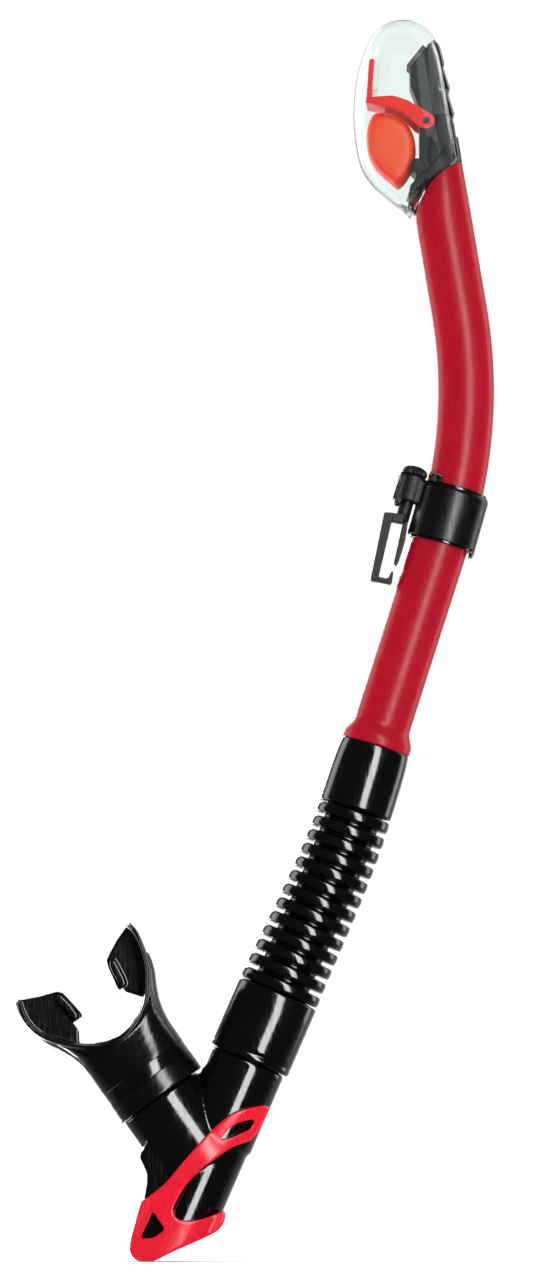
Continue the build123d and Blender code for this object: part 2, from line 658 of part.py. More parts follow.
with BuildPart() as head_seal:
    ring(head_side, tube_bore - SEAL_DEPTH, tube_bore, HEAD_SEAL_LOW, HEAD_SEAL_HIGH)
save(head_seal, "head_seal")

# ---------------------------------------------------------------- float, lever and valve pad
plate_side = side(PIVOT, SEAT_LEAN - FLOAT_LIFT)    # the valve plate's frame when open
PAD_FACE = SEAT_DISTANCE + SEAT_RING + 0.1
PLATE_FACE = PAD_FACE + 1.8
PLATE_BACK = PLATE_FACE + 1.9

with BuildPart() as float_lever:
    # two arms straddle the duct and meet in a bridge that carries the valve plate
    for hand in (-1, 1):
        with BuildSketch(Plane.XZ.offset(hand * (ARM_IN + ARM_OUT) / 2)) as arm:
            with BuildLine():
                Polyline(
                    (14.0, 160.6), (11.0, 162.6), (6.0, 165.6), (0.4, 167.4), (-5.9, 167.0),
                    (-7.4, 165.0), (1.0, 162.6), (5.0, 160.4), (9.0, 156.6), (12.0, 155.2),
                    close=True,
                )
            make_face()
            with Locations(PIVOT):
                Circle(3.1)
        extrude(arm.sketch, amount=(ARM_OUT - ARM_IN) / 2, both=True)
    bridge = ((-2.4, 167.2), (-5.9, 167.0), (-9.4, 166.6), (-9.6, 164.6), (-7.4, 164.2), (-2.4, 163.2))
    slab(Plane.XZ, bridge, ARM_OUT)
    plate = ((6.5, PLATE_FACE), (22.3, PLATE_FACE), (22.3, PLATE_BACK), (6.5, PLATE_BACK))
    slab(plate_side, plate, DUCT_HALF)
    with Locations(side(PIVOT)):
        Cylinder(PIVOT_R + RUNNING_GAP, 40, mode=Mode.SUBTRACT)
save(float_lever, "float_lever")

pad_start = SEAT_START - 1.5
with BuildPart() as valve_pad:
    pad = ((pad_start, PAD_FACE), (22.0, PAD_FACE), (22.0, PLATE_FACE), (pad_start, PLATE_FACE))
    slab(plate_side, pad, DUCT_HALF - 0.2)
save(valve_pad, "valve_pad")

with BuildPart() as float_body:
    with BuildSketch(Plane.XZ) as outline:
        with BuildLine():
            Spline(
                (-6.5, 160.8), (-8.6, 152.0), (-8.0, 145.0), (-5.2, 140.0), (-0.8, 136.0), (2.6, 133.8),
            )
            Spline((2.6, 133.8), (6.2, 138.0), (8.7, 146.0), (8.2, 152.5), (4.2, 158.8))
            Line((4.2, 158.8), (-6.5, 160.8))
        make_face()
    extrude(outline.sketch, amount=8.0, both=True)
    # neck that joins the float to the lever's bridge
    slab(Plane.XZ, ((-6.0, 159.5), (-1.0, 158.5), (-1.0, 164.0), (-6.0, 165.5)), 4.0)
    add(float_lever.part, mode=Mode.SUBTRACT)
save(float_body, "float_body")
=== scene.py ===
from math import atan2, cos, degrees, exp, hypot, pi, radians, sin, sqrt

import bmesh
import bpy
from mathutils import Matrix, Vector


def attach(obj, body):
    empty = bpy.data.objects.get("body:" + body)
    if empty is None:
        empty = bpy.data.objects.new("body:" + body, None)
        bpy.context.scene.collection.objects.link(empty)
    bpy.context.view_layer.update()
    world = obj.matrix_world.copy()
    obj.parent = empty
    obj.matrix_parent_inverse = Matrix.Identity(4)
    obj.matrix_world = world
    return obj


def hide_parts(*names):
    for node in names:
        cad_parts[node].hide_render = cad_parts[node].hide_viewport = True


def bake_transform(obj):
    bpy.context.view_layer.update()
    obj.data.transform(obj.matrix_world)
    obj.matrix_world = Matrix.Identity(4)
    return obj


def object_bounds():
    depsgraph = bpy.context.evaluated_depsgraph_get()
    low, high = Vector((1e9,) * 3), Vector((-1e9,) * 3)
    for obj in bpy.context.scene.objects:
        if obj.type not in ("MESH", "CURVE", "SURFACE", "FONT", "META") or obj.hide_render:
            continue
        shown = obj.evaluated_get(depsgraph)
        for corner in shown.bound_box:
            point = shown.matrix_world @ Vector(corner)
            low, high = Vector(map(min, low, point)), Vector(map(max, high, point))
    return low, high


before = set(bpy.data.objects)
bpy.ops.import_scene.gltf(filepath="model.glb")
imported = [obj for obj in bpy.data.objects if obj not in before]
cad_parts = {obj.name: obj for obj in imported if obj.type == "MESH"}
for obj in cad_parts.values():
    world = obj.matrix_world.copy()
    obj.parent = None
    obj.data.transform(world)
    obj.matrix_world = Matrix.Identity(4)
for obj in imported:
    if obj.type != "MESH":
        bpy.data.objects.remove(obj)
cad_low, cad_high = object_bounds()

# Shapes are given in millimetres and turned into metres by Place.at.
MM = 0.001

# ---------------------------------------------------------------- the CAD's own dimensions
# Radii and lengths are in millimetres, angles and leans in degrees, points are (x, z).
TUBE_R = 10.75
TUBE_BORE = 9.0
BEND_R = 178.1
BEND_CENTRE = (-150.4, 57.3)
BEND_TOP = 9.46
BEND_FOOT = -17.8
UPPER_RUN = 49.6
LOWER_RUN = 84.0
BELL_R = 13.2
FOOT_CENTRE = (39.6, 114.1)     # the head's foot is round, seen from the side
FOOT_R = 32.3

CUFF_TOP = 25.0
CUFF_FOOT = 27.0
RIBS = 13
SPIGOT = 18.0                   # how far a tube reaches into the hose

CROSSING = (-69.75, -231.15)    # where the barrel and the branch cross
BARREL_LEAN = 23.35
BARREL_RISE = 40.0
BARREL_BORE = 12.0
BRANCH_LEAN = -35.15
NECK_BORE = 11.8
PURGE_CENTRE = (-79.5, -263.2)
PURGE_LEAN = 155.8

KEEPER_ANGLE = -15.66
LINER_R = 11.95
LINER_BORE = 11.05
CLIP_LEAN = 11.6

THROUGH = 25.0                  # half the width of a cutter that goes right through


# ---------------------------------------------------------------- frames
class Place:
    """A point (x, z) in the plane of symmetry, with an axis that leans from +Z towards +X."""

    def __init__(self, point, lean=0.0):
        tilt = radians(lean)
        self.origin = Vector((point[0], 0, point[1]))
        self.across = Vector((cos(tilt), 0, -sin(tilt)))
        self.axis = Vector((sin(tilt), 0, cos(tilt)))

    def at(self, u, height, y=0.0):
        return (self.origin + self.across * u + self.axis * height + Vector((0, y, 0))) * MM


def along(point, lean, distance):
    return (point[0] + distance * sin(radians(lean)), point[1] + distance * cos(radians(lean)))


def on_bend(angle):
    return (
        BEND_CENTRE[0] + BEND_R * cos(radians(angle)),
        BEND_CENTRE[1] + BEND_R * sin(radians(angle)),
    )


bend_top = on_bend(BEND_TOP)
bend_foot = on_bend(BEND_FOOT)
tube_top = along(bend_top, -BEND_TOP, UPPER_RUN)
tube_foot = along(bend_foot, -BEND_FOOT, -LOWER_RUN)
barrel_top = along(CROSSING, BARREL_LEAN, BARREL_RISE)
hose_start = along(tube_foot, -BEND_FOOT, -CUFF_TOP)
hose_end = along(barrel_top, BARREL_LEAN, CUFF_FOOT)
keeper_centre = on_bend(KEEPER_ANGLE)

WORLD = Place((0, 0))
barrel = Place(CROSSING, BARREL_LEAN)
branch = Place(CROSSING, BRANCH_LEAN)
keeper = Place(keeper_centre, -KEEPER_ANGLE)
head = Place(tube_top, -BEND_TOP)
clip = Place((0, 0), CLIP_LEAN)


# ---------------------------------------------------------------- materials
def srgb(red, green, blue):
    def linear(value):
        value /= 255
        return value / 12.92 if value <= 0.04045 else ((value + 0.055) / 1.055) ** 2.4

    return (linear(red), linear(green), linear(blue), 1.0)


def moulded_look(
    name, colour, second, roughness, rough_spread=0.08, grain=0.12, grain_size=0.0006, specular=0.5,
    metallic=0.0, clear=0.0, ior=1.5, glow=0.0, blotch=0.012, streak=0.35,
):
    """Moulded plastic or rubber: cloudy colour, uneven gloss, fine grain and faint handling scratches."""
    material = bpy.data.materials.new(name)
    material.use_nodes = True
    nodes = material.node_tree.nodes
    links = material.node_tree.links
    shader = nodes["Principled BSDF"]
    place = nodes.new("ShaderNodeTexCoord")

    def noise(size, detail, stretch=(1, 1, 1), seed=0.0):
        mapping = nodes.new("ShaderNodeMapping")
        mapping.inputs["Scale"].default_value = stretch
        mapping.inputs["Location"].default_value = (seed, seed * 0.7, seed * 1.3)
        links.new(place.outputs["Object"], mapping.inputs["Vector"])
        texture = nodes.new("ShaderNodeTexNoise")
        texture.inputs["Scale"].default_value = 1 / size
        texture.inputs["Detail"].default_value = detail
        links.new(mapping.outputs["Vector"], texture.inputs["Vector"])
        return texture.outputs["Fac"]

    cloud = noise(blotch, 3.0, seed=0.11)
    mix = nodes.new("ShaderNodeMix")
    mix.data_type = "RGBA"
    mix.inputs["A"].default_value = colour
    mix.inputs["B"].default_value = second
    links.new(cloud, mix.inputs["Factor"])
    links.new(mix.outputs["Result"], shader.inputs["Base Color"])

    scratches = noise(0.004, 2.0, stretch=(6.0, 6.0, 0.5), seed=0.37)
    gloss = nodes.new("ShaderNodeMapRange")
    gloss.inputs["From Min"].default_value = 0.35
    gloss.inputs["From Max"].default_value = 0.7
    gloss.inputs["To Min"].default_value = max(roughness - rough_spread / 2, 0.02)
    gloss.inputs["To Max"].default_value = roughness + rough_spread
    links.new(scratches, gloss.inputs["Value"])
    links.new(gloss.outputs["Result"], shader.inputs["Roughness"])

    fine = noise(grain_size, 2.0, seed=0.53)
    long_marks = noise(0.0025, 3.0, stretch=(5.0, 5.0, 0.35), seed=0.71)
    height = nodes.new("ShaderNodeMath")
    height.operation = "MULTIPLY_ADD"
    height.inputs[1].default_value = streak
    links.new(long_marks, height.inputs[0])
    links.new(fine, height.inputs[2])
    bump = nodes.new("ShaderNodeBump")
    bump.inputs["Strength"].default_value = grain
    bump.inputs["Distance"].default_value = 0.00012
    links.new(height.outputs[0], bump.inputs["Height"])
    links.new(bump.outputs["Normal"], shader.inputs["Normal"])

    shader.inputs["Specular IOR Level"].default_value = specular
    shader.inputs["IOR"].default_value = ior
    shader.inputs["Metallic"].default_value = metallic
    shader.inputs["Transmission Weight"].default_value = clear
    if glow:
        shader.inputs["Subsurface Weight"].default_value = glow
        shader.inputs["Subsurface Radius"].default_value = (1.0, 0.35, 0.2)
        shader.inputs["Subsurface Scale"].default_value = 0.003
    return material


TUBE_RED = moulded_look(
    "red_tube_plastic", srgb(174, 3, 32), srgb(154, 3, 28), 0.3, grain=0.03, specular=0.13,
)
COVER_RED = moulded_look(
    "cover_red_plastic", srgb(236, 2, 42), srgb(214, 2, 38), 0.26, grain=0.04, specular=0.35, blotch=0.005,
    streak=0.05,
)
BLACK_SILICONE = moulded_look(
    "black_silicone", srgb(5, 6, 6), srgb(9, 10, 11), 0.13, rough_spread=0.1, grain=0.02,
)
MOUTH_SILICONE = moulded_look(
    "mouthpiece_silicone", srgb(5, 7, 7), srgb(10, 12, 12), 0.2, grain=0.03, specular=0.4, streak=0.05,
)
BLACK_PLASTIC = moulded_look(
    "black_plastic", srgb(5, 6, 6), srgb(9, 10, 11), 0.12, rough_spread=0.1, grain=0.02,
)
KEEPER_PLASTIC = moulded_look(
    "keeper_plastic", srgb(9, 11, 11), srgb(24, 27, 27), 0.45, grain=0.25, specular=0.25, grain_size=0.0004,
    blotch=0.005,
)
BAND_PLASTIC = moulded_look(
    "keeper_band_plastic", srgb(6, 8, 8), srgb(11, 14, 14), 0.3, grain=0.04, specular=0.3,
)
TOWER_PLASTIC = moulded_look(
    "tower_plastic", srgb(2, 3, 4), srgb(12, 18, 21), 0.35, grain=0.06, specular=0.1, blotch=0.006,
)
BLACK_RUBBER = moulded_look("seal_rubber", srgb(12, 12, 12), srgb(22, 22, 22), 0.6, grain=0.2)
CLEAR_SILICONE = moulded_look(
    "clear_silicone", srgb(240, 244, 243), srgb(246, 248, 248), 0.3, clear=0.9, ior=1.38,
)
CLEAR_PLASTIC = moulded_look(
    "clear_plastic", srgb(243, 251, 248), srgb(249, 253, 252), 0.04, rough_spread=0.05, grain=0.03, clear=1.0,
    ior=1.4, grain_size=0.003, specular=0.2,
)
LEVER_RED = moulded_look(
    "lever_red_plastic", srgb(250, 22, 4), srgb(240, 14, 4), 0.3, glow=0.1, specular=0.1,
)
FLOAT_ORANGE = moulded_look(
    "float_orange_plastic", srgb(255, 84, 28), srgb(252, 72, 22), 0.36, glow=0.1, grain=0.05, specular=0.12,
)
STEEL = moulded_look("pin_steel", srgb(150, 152, 155), srgb(190, 192, 196), 0.25, grain=0.1, metallic=1.0)


def paint_shaded_rim(material, rim, reach, fade=0.7):
    """Paints shade into a material: recolours it where it is nearer the plane of symmetry than reach, with a
    short fade.
    """
    tree = material.node_tree
    shader = tree.nodes["Principled BSDF"]
    face_colour = shader.inputs["Base Color"].links[0].from_socket
    place = tree.nodes.new("ShaderNodeTexCoord")
    split = tree.nodes.new("ShaderNodeSeparateXYZ")
    tree.links.new(place.outputs["Object"], split.inputs[0])
    side = tree.nodes.new("ShaderNodeMath")
    side.operation = "ABSOLUTE"
    tree.links.new(split.outputs["Y"], side.inputs[0])
    blend = tree.nodes.new("ShaderNodeMapRange")
    blend.inputs["From Min"].default_value = (reach - fade) * MM
    blend.inputs["From Max"].default_value = reach * MM
    tree.links.new(side.outputs[0], blend.inputs["Value"])
    mix = tree.nodes.new("ShaderNodeMix")
    mix.data_type = "RGBA"
    # the rim colour is painted shade
    mix.inputs["A"].default_value = rim
    tree.links.new(face_colour, mix.inputs["B"])
    tree.links.new(blend.outputs["Result"], mix.inputs["Factor"])
    tree.links.new(mix.outputs["Result"], shader.inputs["Base Color"])


# painted shade: the float's turned rim gets a darker, redder orange than its flat faces
paint_shaded_rim(FLOAT_ORANGE, srgb(244, 34, 14), 8.3)


# ---------------------------------------------------------------- mesh helpers
def soft_corners(points, radius, steps=4):
    """A closed outline with its corners rounded; a third number in a point is its own radius."""
    out = []
    for number, point in enumerate(points):
        corner = Vector(point[:2])
        back = Vector(points[number - 1][:2]) - corner
        ahead = Vector(points[(number + 1) % len(points)][:2]) - corner
        reach = min(point[2] if len(point) > 2 else radius, 0.48 * back.length, 0.48 * ahead.length)
        if reach < 1e-3:
            out.append(corner)
            continue
        start = corner + back.normalized() * reach
        end = corner + ahead.normalized() * reach
        for step in range(steps + 1):
            t = step / steps
            out.append(start * (1 - t) ** 2 + corner * (2 * t * (1 - t)) + end * t * t)
    return out


def smooth_line(points, steps=8, closed=False):
    """Points on a Catmull-Rom curve through the given ones."""
    line = [Vector(p) for p in points]
    out = []
    count = len(line) if closed else len(line) - 1
    for i in range(count):
        p1 = line[i]
        p2 = line[(i + 1) % len(line)]
        p0 = line[i - 1] if closed or i else p1 * 2 - p2
        p3 = line[(i + 2) % len(line)] if closed or i + 2 < len(line) else p2 * 2 - p1
        for step in range(steps):
            t = step / steps
            out.append(
                (p1 * 2 + (p2 - p0) * t + (p0 * 2 - p1 * 5 + p2 * 4 - p3) * t * t
                 + (p1 * 3 - p0 - p2 * 3 + p3) * t ** 3) * 0.5
            )
    if not closed:
        out.append(line[-1])
    return out


def loft(rings, wrap=False):
    """Faces between equal rings of points; open ends are closed with a face."""
    size = len(rings[0])
    points = [p for ring in rings for p in ring]
    faces = []
    for i in range(len(rings) if wrap else len(rings) - 1):
        j = (i + 1) % len(rings)
        for k in range(size):
            m = (k + 1) % size
            faces.append((i * size + k, i * size + m, j * size + m, j * size + k))
    if not wrap:
        faces.append(tuple(reversed(range(size))))
        faces.append(tuple((len(rings) - 1) * size + k for k in range(size)))
    return points, faces


def circle(place, radius, height, segments=96, lobes=0, depth=0.0):
    """A ring of points about the place's axis; lobes of a depth make it wavy."""
    ring = []
    for k in range(segments):
        angle = 2 * pi * k / segments
        reach = radius + depth * cos(lobes * angle)
        ring.append(place.at(reach * cos(angle), height, reach * sin(angle)))
    return ring


def lathe(place, profile, segments=96):
    """A solid of revolution about the place's axis, from (radius, height) points."""
    return loft([circle(place, max(r, 1e-4), h, segments) for r, h in profile], wrap=True)


def prism(place, outline, low, high):
    """An outline in the plane of symmetry, drawn out from y = low to y = high."""
    return loft([[place.at(p[0], p[1], y) for p in outline] for y in (low, high)])


def tidy(mesh, gap=2e-7):
    """Joins doubled points, drops faces without area and turns all normals outwards."""
    work = bmesh.new()
    work.from_mesh(mesh)
    bmesh.ops.remove_doubles(work, verts=work.verts, dist=gap)
    bmesh.ops.dissolve_degenerate(work, edges=work.edges, dist=gap)
    bmesh.ops.recalc_face_normals(work, faces=work.faces)
    work.to_mesh(mesh)
    work.free()


def new_mesh(name, solids):
    """One object from several (points, faces) solids."""
    mesh = bpy.data.meshes.new(name)
    points = []
    faces = []
    for solid_points, solid_faces in solids:
        start = len(points)
        points += [tuple(p) for p in solid_points]
        faces += [tuple(start + k for k in face) for face in solid_faces]
    mesh.from_pydata(points, [], faces)
    tidy(mesh)
    piece = bpy.data.objects.new(name, mesh)
    bpy.context.scene.collection.objects.link(piece)
    return piece


def settle(piece):
    """Applies the modifiers of a piece."""
    graph = bpy.context.evaluated_depsgraph_get()
    graph.update()
    mesh = bpy.data.meshes.new_from_object(piece.evaluated_get(graph))
    piece.modifiers.clear()
    old = piece.data
    piece.data = mesh
    bpy.data.meshes.remove(old)
    mesh.name = piece.name


def carve(piece, solids, operation="DIFFERENCE"):
    """Takes solids away from a piece, or keeps only what lies inside them."""
    for number, solid in enumerate(solids):
        cutter = new_mesh(f"cutter_{number}", [solid])
        cut = piece.modifiers.new("cut", "BOOLEAN")
        cut.object = cutter
        cut.operation = operation
        cut.solver = "EXACT"
        settle(piece)
        bpy.data.objects.remove(cutter)


def moulded(piece, voxel, rounds):
    """Unites overlapping solids into one skin with softened edges, as a moulding has."""
    remesh = piece.modifiers.new("skin", "REMESH")
    remesh.mode = "VOXEL"
    remesh.voxel_size = voxel * MM
    remesh.use_smooth_shade = True
    soften = piece.modifiers.new("soften", "SMOOTH")
    soften.factor = 0.5
    soften.iterations = rounds
    settle(piece)


def finish_piece(piece, body, material, slot, *replaced, sharp=38):
    """Gives a piece its look, hangs it under the empty of its body and hides the CAD nodes it replaces; slot is
    not used.
    """
    piece.data.materials.clear()
    piece.data.materials.append(material)
    piece.data.shade_smooth()
    piece.data.set_sharp_from_angle(angle=radians(sharp))
    if body:
        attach(piece, body)
    if replaced:
        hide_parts(*replaced)


def solid_of(node):
    """The shape of a CAD node as (points, faces), to be worked on."""
    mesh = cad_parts[node].data.copy()
    tidy(mesh, 2e-6)
    solid = ([vertex.co.copy() for vertex in mesh.vertices], [tuple(face.vertices) for face in mesh.polygons])
    bpy.data.meshes.remove(mesh)
    return solid


# ---------------------------------------------------------------- rigid tube
BELL_TOP = 9.5


def bell_radius(height):
    """The outside radius of the tube's lower run: its foot swells out to meet the hose."""
    if height < 0 or height > BELL_TOP:
        return TUBE_R
    if height < 0.5:
        return BELL_R - 0.35 + 0.7 * height
    t = min(max((height - 2.2) / 7.2, 0), 1)
    return BELL_R - (BELL_R - TUBE_R) * t * t * (3 - 2 * t)


def tube_stations():
    """(place, outside radius) up the tube's centreline."""
    heights = [-SPIGOT, -0.4] + [0.25 * k for k in range(44)] + [12 + 4 * k for k in range(18)]
    stations = [(Place(along(tube_foot, -BEND_FOOT, h), -BEND_FOOT), bell_radius(h)) for h in heights]
    turns = 40
    for k in range(turns + 1):
        angle = BEND_FOOT + (BEND_TOP - BEND_FOOT) * k / turns
        stations.append((Place(on_bend(angle), -angle), TUBE_R))
    stations += [(Place(along(bend_top, -BEND_TOP, h), -BEND_TOP), TUBE_R) for h in (6, 14, 22, 30, 36)]
    return stations


def cut_ring(radius, segments=96, gap=0.0):
    """The tube's top, where it meets the round foot of the head."""
    ring = []
    for k in range(segments):
        angle = 2 * pi * k / segments
        foot = head.at(radius * cos(angle), 0) / MM
        dx = foot.x - FOOT_CENTRE[0]
        dz = foot.z - FOOT_CENTRE[1]
        slope = dx * head.axis.x + dz * head.axis.z
        rise = -slope + sqrt(slope * slope - dx * dx - dz * dz + (FOOT_R - gap) ** 2)
        ring.append(head.at(radius * cos(angle), rise, radius * sin(angle)))
    return ring


stations = tube_stations()
outer = [circle(place, radius, 0) for place, radius in stations]
inner = [circle(place, TUBE_BORE, 0) for place, radius in stations]
rings = outer + [cut_ring(TUBE_R - 0.12, gap=0.55), cut_ring(TUBE_R - 0.3, gap=0.15), cut_ring(TUBE_BORE)]
rings += inner[::-1]
red_tube = new_mesh("red_tube", [loft(rings, wrap=True)])
finish_piece(red_tube, "tube", TUBE_RED, "tube_red", "main_tube")

# ---------------------------------------------------------------- ribbed hose
HOSE_BORE = 9.3
HOSE_GROOVE_R = 10.6
GROOVE_EDGE = 2.45      # from the middle of a rib to the floor of the groove beside it
RIB_TOP_R = 14.0
RIB_FOOT_R = 15.75
CUFF_FOOT_R = 15.85
hose_span = hypot(hose_start[0] - hose_end[0], hose_start[1] - hose_end[1])
rib_pitch = hose_span / RIBS


def hose_place(distance):
    """A place on the hose's gently curved centreline, at a distance below the upper cuff."""
    t = distance / hose_span
    start = Vector(hose_start)
    end = Vector(hose_end)
    first = -Vector((sin(radians(-BEND_FOOT)), cos(radians(-BEND_FOOT)))) * hose_span
    last = -Vector((sin(radians(BARREL_LEAN)), cos(radians(BARREL_LEAN)))) * hose_span
    point = (
        start * (2 * t ** 3 - 3 * t * t + 1) + first * (t ** 3 - 2 * t * t + t)
        + end * (3 * t * t - 2 * t ** 3) + last * (t ** 3 - t * t)
    )
    slope = (
        start * (6 * t * t - 6 * t) + first * (3 * t * t - 4 * t + 1)
        + end * (6 * t - 6 * t * t) + last * (3 * t * t - 2 * t)
    )
    return Place(point, degrees(atan2(-slope.x, -slope.y)))


upper_cuff = Place(tube_foot, -BEND_FOOT)
lower_cuff = Place(barrel_top, BARREL_LEAN)
rings = []
for radius, height in (
    (TUBE_R + 0.05, -0.1), (BELL_R - 0.35, -0.1), (BELL_R - 0.1, -0.25), (BELL_R, -0.6), (13.45, -3),
    (13.7, -6), (13.85, -10), (13.95, -15), (14.0, -20), (14.0, -24.0), (13.9, -24.6), (13.6, -24.95),
):
    rings.append(circle(upper_cuff, radius, height))
rings.append(circle(hose_place(0.35), HOSE_GROOVE_R + 0.3, 0))
for number in range(RIBS):
    middle = (number + 0.5) * rib_pitch
    crest = RIB_TOP_R + (RIB_FOOT_R - RIB_TOP_R) * middle / hose_span
    flank = (
        (HOSE_GROOVE_R + 0.5, 2.1), (HOSE_GROOVE_R + 0.9, 2.0), (crest - 0.8, 1.96), (crest - 0.35, 1.86),
        (crest - 0.12, 1.6), (crest, 1.1),
    )
    rib_line = [(radius, -shift) for radius, shift in flank] + [(crest + 0.1, 0.0)] + list(flank[::-1])
    rings += [circle(hose_place(middle + shift), radius, 0) for radius, shift in rib_line]
    if number < RIBS - 1:
        for distance in (middle + GROOVE_EDGE, middle + rib_pitch - GROOVE_EDGE):
            rings.append(circle(hose_place(distance), HOSE_GROOVE_R + 0.06, 0))
for radius, height in (
    (15.45, 27.0), (15.72, 26.75), (CUFF_FOOT_R, 26.3), (CUFF_FOOT_R, 20), (CUFF_FOOT_R, 12),
    (CUFF_FOOT_R, 5), (CUFF_FOOT_R, 3.0), (15.7, 2.75), (15.7, 2.35), (CUFF_FOOT_R, 2.1), (CUFF_FOOT_R, 0.6),
    (15.6, 0.15), (15.2, 0.0), (BARREL_BORE, 0.0), (BARREL_BORE, SPIGOT), (HOSE_BORE, SPIGOT), (HOSE_BORE, 26),
):
    rings.append(circle(lower_cuff, radius, height))
rings += [circle(hose_place(hose_span * k / 24), HOSE_BORE, 0) for k in range(24, -1, -1)]
rings += [circle(upper_cuff, HOSE_BORE, -SPIGOT), circle(upper_cuff, TUBE_R + 0.05, -SPIGOT)]
ribbed_hose = new_mesh("ribbed_hose", [loft(rings, wrap=True)])
finish_piece(ribbed_hose, None, BLACK_SILICONE, "silicone_black", "flex_hose", sharp=60)
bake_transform(ribbed_hose)

# ---------------------------------------------------------------- mouthpiece, in the branch's frame
FLANGE = (  # (along the branch, across it) on the inner face, from one tip to the other
    (88.2, 25.6), (83.5, 26.0), (77.2, 24.7), (72.1, 22.8), (67.6, 20.2), (63.0, 16.6), (59.4, 12.6),
    (56.8, 8.0), (55.4, 3.0), (55.5, -1.8), (57.1, -7.0), (59.6, -11.4), (63.0, -15.4), (68.0, -19.8),
    (73.5, -23.2), (79.0, -24.4), (84.0, -24.0), (88.4, -22.6),
)
flange_line = smooth_line(FLANGE, 5)
FLANGE_THICK = 1.7
FLANGE_HALF = 15.5


def flange_ring(index):
    """A cross-section of the bite flange, with a bead along both edges."""
    here = flange_line[index]
    before = flange_line[max(index - 1, 0)]
    after = flange_line[min(index + 1, len(flange_line) - 1)]
    forward = (after - before).normalized()
    outward = Vector((-forward.y, forward.x))
    if outward.dot(here - Vector((85, 1))) < 0:
        outward = -outward
    t = abs(2 * index / (len(flange_line) - 1) - 1)
    half = FLANGE_HALF - 3.5 * t * t
    if t > 0.8:
        half *= sqrt(max(1 - ((t - 0.8) / 0.2) ** 2 * 0.82, 0))
    ring = []
    rows = 14
    for side_of in (0, 1):
        for row in range(rows + 1):
            y = half * (1 - 2 * row / rows) * (1 if side_of else -1)
            bead = 0.35 * exp(-(((half - abs(y)) - 0.9) / 1.0) ** 2)
            edge = min((half - abs(y)) / 0.5, 1.0)
            reach = (FLANGE_THICK if side_of else 0.0) + (bead if side_of else -bead) * edge
            if edge < 0.5:
                reach = FLANGE_THICK * (0.75 if side_of else 0.25)
            spot = here + outward * reach
            ring.append(branch.at(spot.y, spot.x, y))
    return ring


def flange_depth(across):
    """How far along the branch the flange's inner face lies, at a distance across it."""
    best = min(flange_line, key=lambda p: abs(p.y - across) + (50 if p.x > 76 else 0))
    return best.x


NECK = (  # share of the way to the flange, half width on the right and on the left, half depth
    (0.0, 18.3, 18.4, 18.3), (0.25, 18.3, 18.3, 18.2), (0.45, 18.3, 18.2, 17.6), (0.55, 18.9, 18.5, 16.9),
    (0.65, 20.2, 19.6, 16.2), (0.75, 22.4, 21.6, 15.6), (0.85, 24.9, 24.2, 15.1), (0.93, 26.2, 25.6, 14.8),
    (1.0, 26.8, 26.2, 14.6),
)
RIM_RIGHT, RIM_LEFT, RIM_DEPTH = NECK[-1][1:]
SLEEVE_FOOT = 28.75
FLANGE_MIDDLE = 0.5     # from the flange's inner face to where the neck ends inside it
neck_angles = [2 * pi * k / 96 for k in range(96)]
neck_rings = []
for share, right, left, depth in NECK:
    ring = []
    for angle in neck_angles:
        across = (right if cos(angle) >= 0 else left) * cos(angle)
        rim = (RIM_RIGHT if cos(angle) >= 0 else RIM_LEFT) * cos(angle)
        end = flange_depth(rim) + FLANGE_MIDDLE
        height = SLEEVE_FOOT + share * (end - SLEEVE_FOOT)
        ring.append(branch.at(across, height, depth * sin(angle)))
    neck_rings.append(ring)
for shrink in (0.8, 0.6, 0.4, 0.2, 0.02):
    ring = []
    for angle in neck_angles:
        across = shrink * (RIM_RIGHT if cos(angle) >= 0 else RIM_LEFT) * cos(angle)
        ring.append(branch.at(across, flange_depth(across) + FLANGE_MIDDLE, shrink * RIM_DEPTH * sin(angle)))
    neck_rings.append(ring)


def flipped(outline):
    """(along, across) points as (across, along), which is how a place takes them."""
    return [(p[1], p[0]) + tuple(p[2:]) for p in outline]


RIGHT_TAB = (
    (87.9, 25.4), (85.9, 19.8), (83.6, 15.1), (81.9, 12.2), (79.2, 11.1), (75.1, 10.4), (71.0, 9.5),
    (69.2, 10.0), (67.6, 11.8), (61.7, 16.2), (67.6, 21.2), (72.1, 23.8), (77.2, 25.6), (83.5, 26.9),
    (87.4, 26.6),
)
LEFT_TAB = (
    (61.6, -14.2), (65.8, -11.6), (69.2, -7.6), (70.9, -6.8), (75.6, -7.3), (81.3, -8.1), (83.0, -9.7),
    (84.3, -13.3), (85.2, -16.0), (87.5, -21.0), (88.3, -23.0), (84.0, -25.0), (79.0, -25.4), (73.5, -24.2),
    (68.0, -20.8), (63.0, -16.4),
)
RIGHT_RIDGE = (
    (70.2, 11.0), (75.1, 11.3), (79.0, 12.0), (80.9, 13.2), (80.2, 14.8), (78.0, 14.6), (73.0, 13.9),
    (70.4, 13.2),
)
TAB_HALF = 2.0
RIDGE_HALF = 4.2
LEFT_RIDGE = (
    (70.8, -8.2), (75.6, -8.2), (80.8, -9.1), (81.8, -10.2), (80.2, -11.8), (76.8, -11.2), (71.4, -10.8),
    (70.2, -9.8),
)
mouth_solids = [
    loft([flange_ring(i) for i in range(len(flange_line))]),
    loft(neck_rings),
    prism(branch, flipped(RIGHT_TAB), -TAB_HALF, TAB_HALF),
    prism(branch, flipped(LEFT_TAB), -TAB_HALF, TAB_HALF),
    prism(branch, flipped(RIGHT_RIDGE), -RIDGE_HALF, RIDGE_HALF),
    prism(branch, flipped(LEFT_RIDGE), -RIDGE_HALF, RIDGE_HALF),
]
mouthpiece = new_mesh("mouthpiece_silicone", mouth_solids)
moulded(mouthpiece, 0.34, 12)
SLEEVE_BORE = 15.6
PASSAGE_HALF = 7.5      # the air passage through the flange is flatter than it is wide
BAND_SEAT_R = 17.2      # the clamp band lies in a groove of this radius
passage_angles = [2 * pi * k / 64 for k in range(64)]
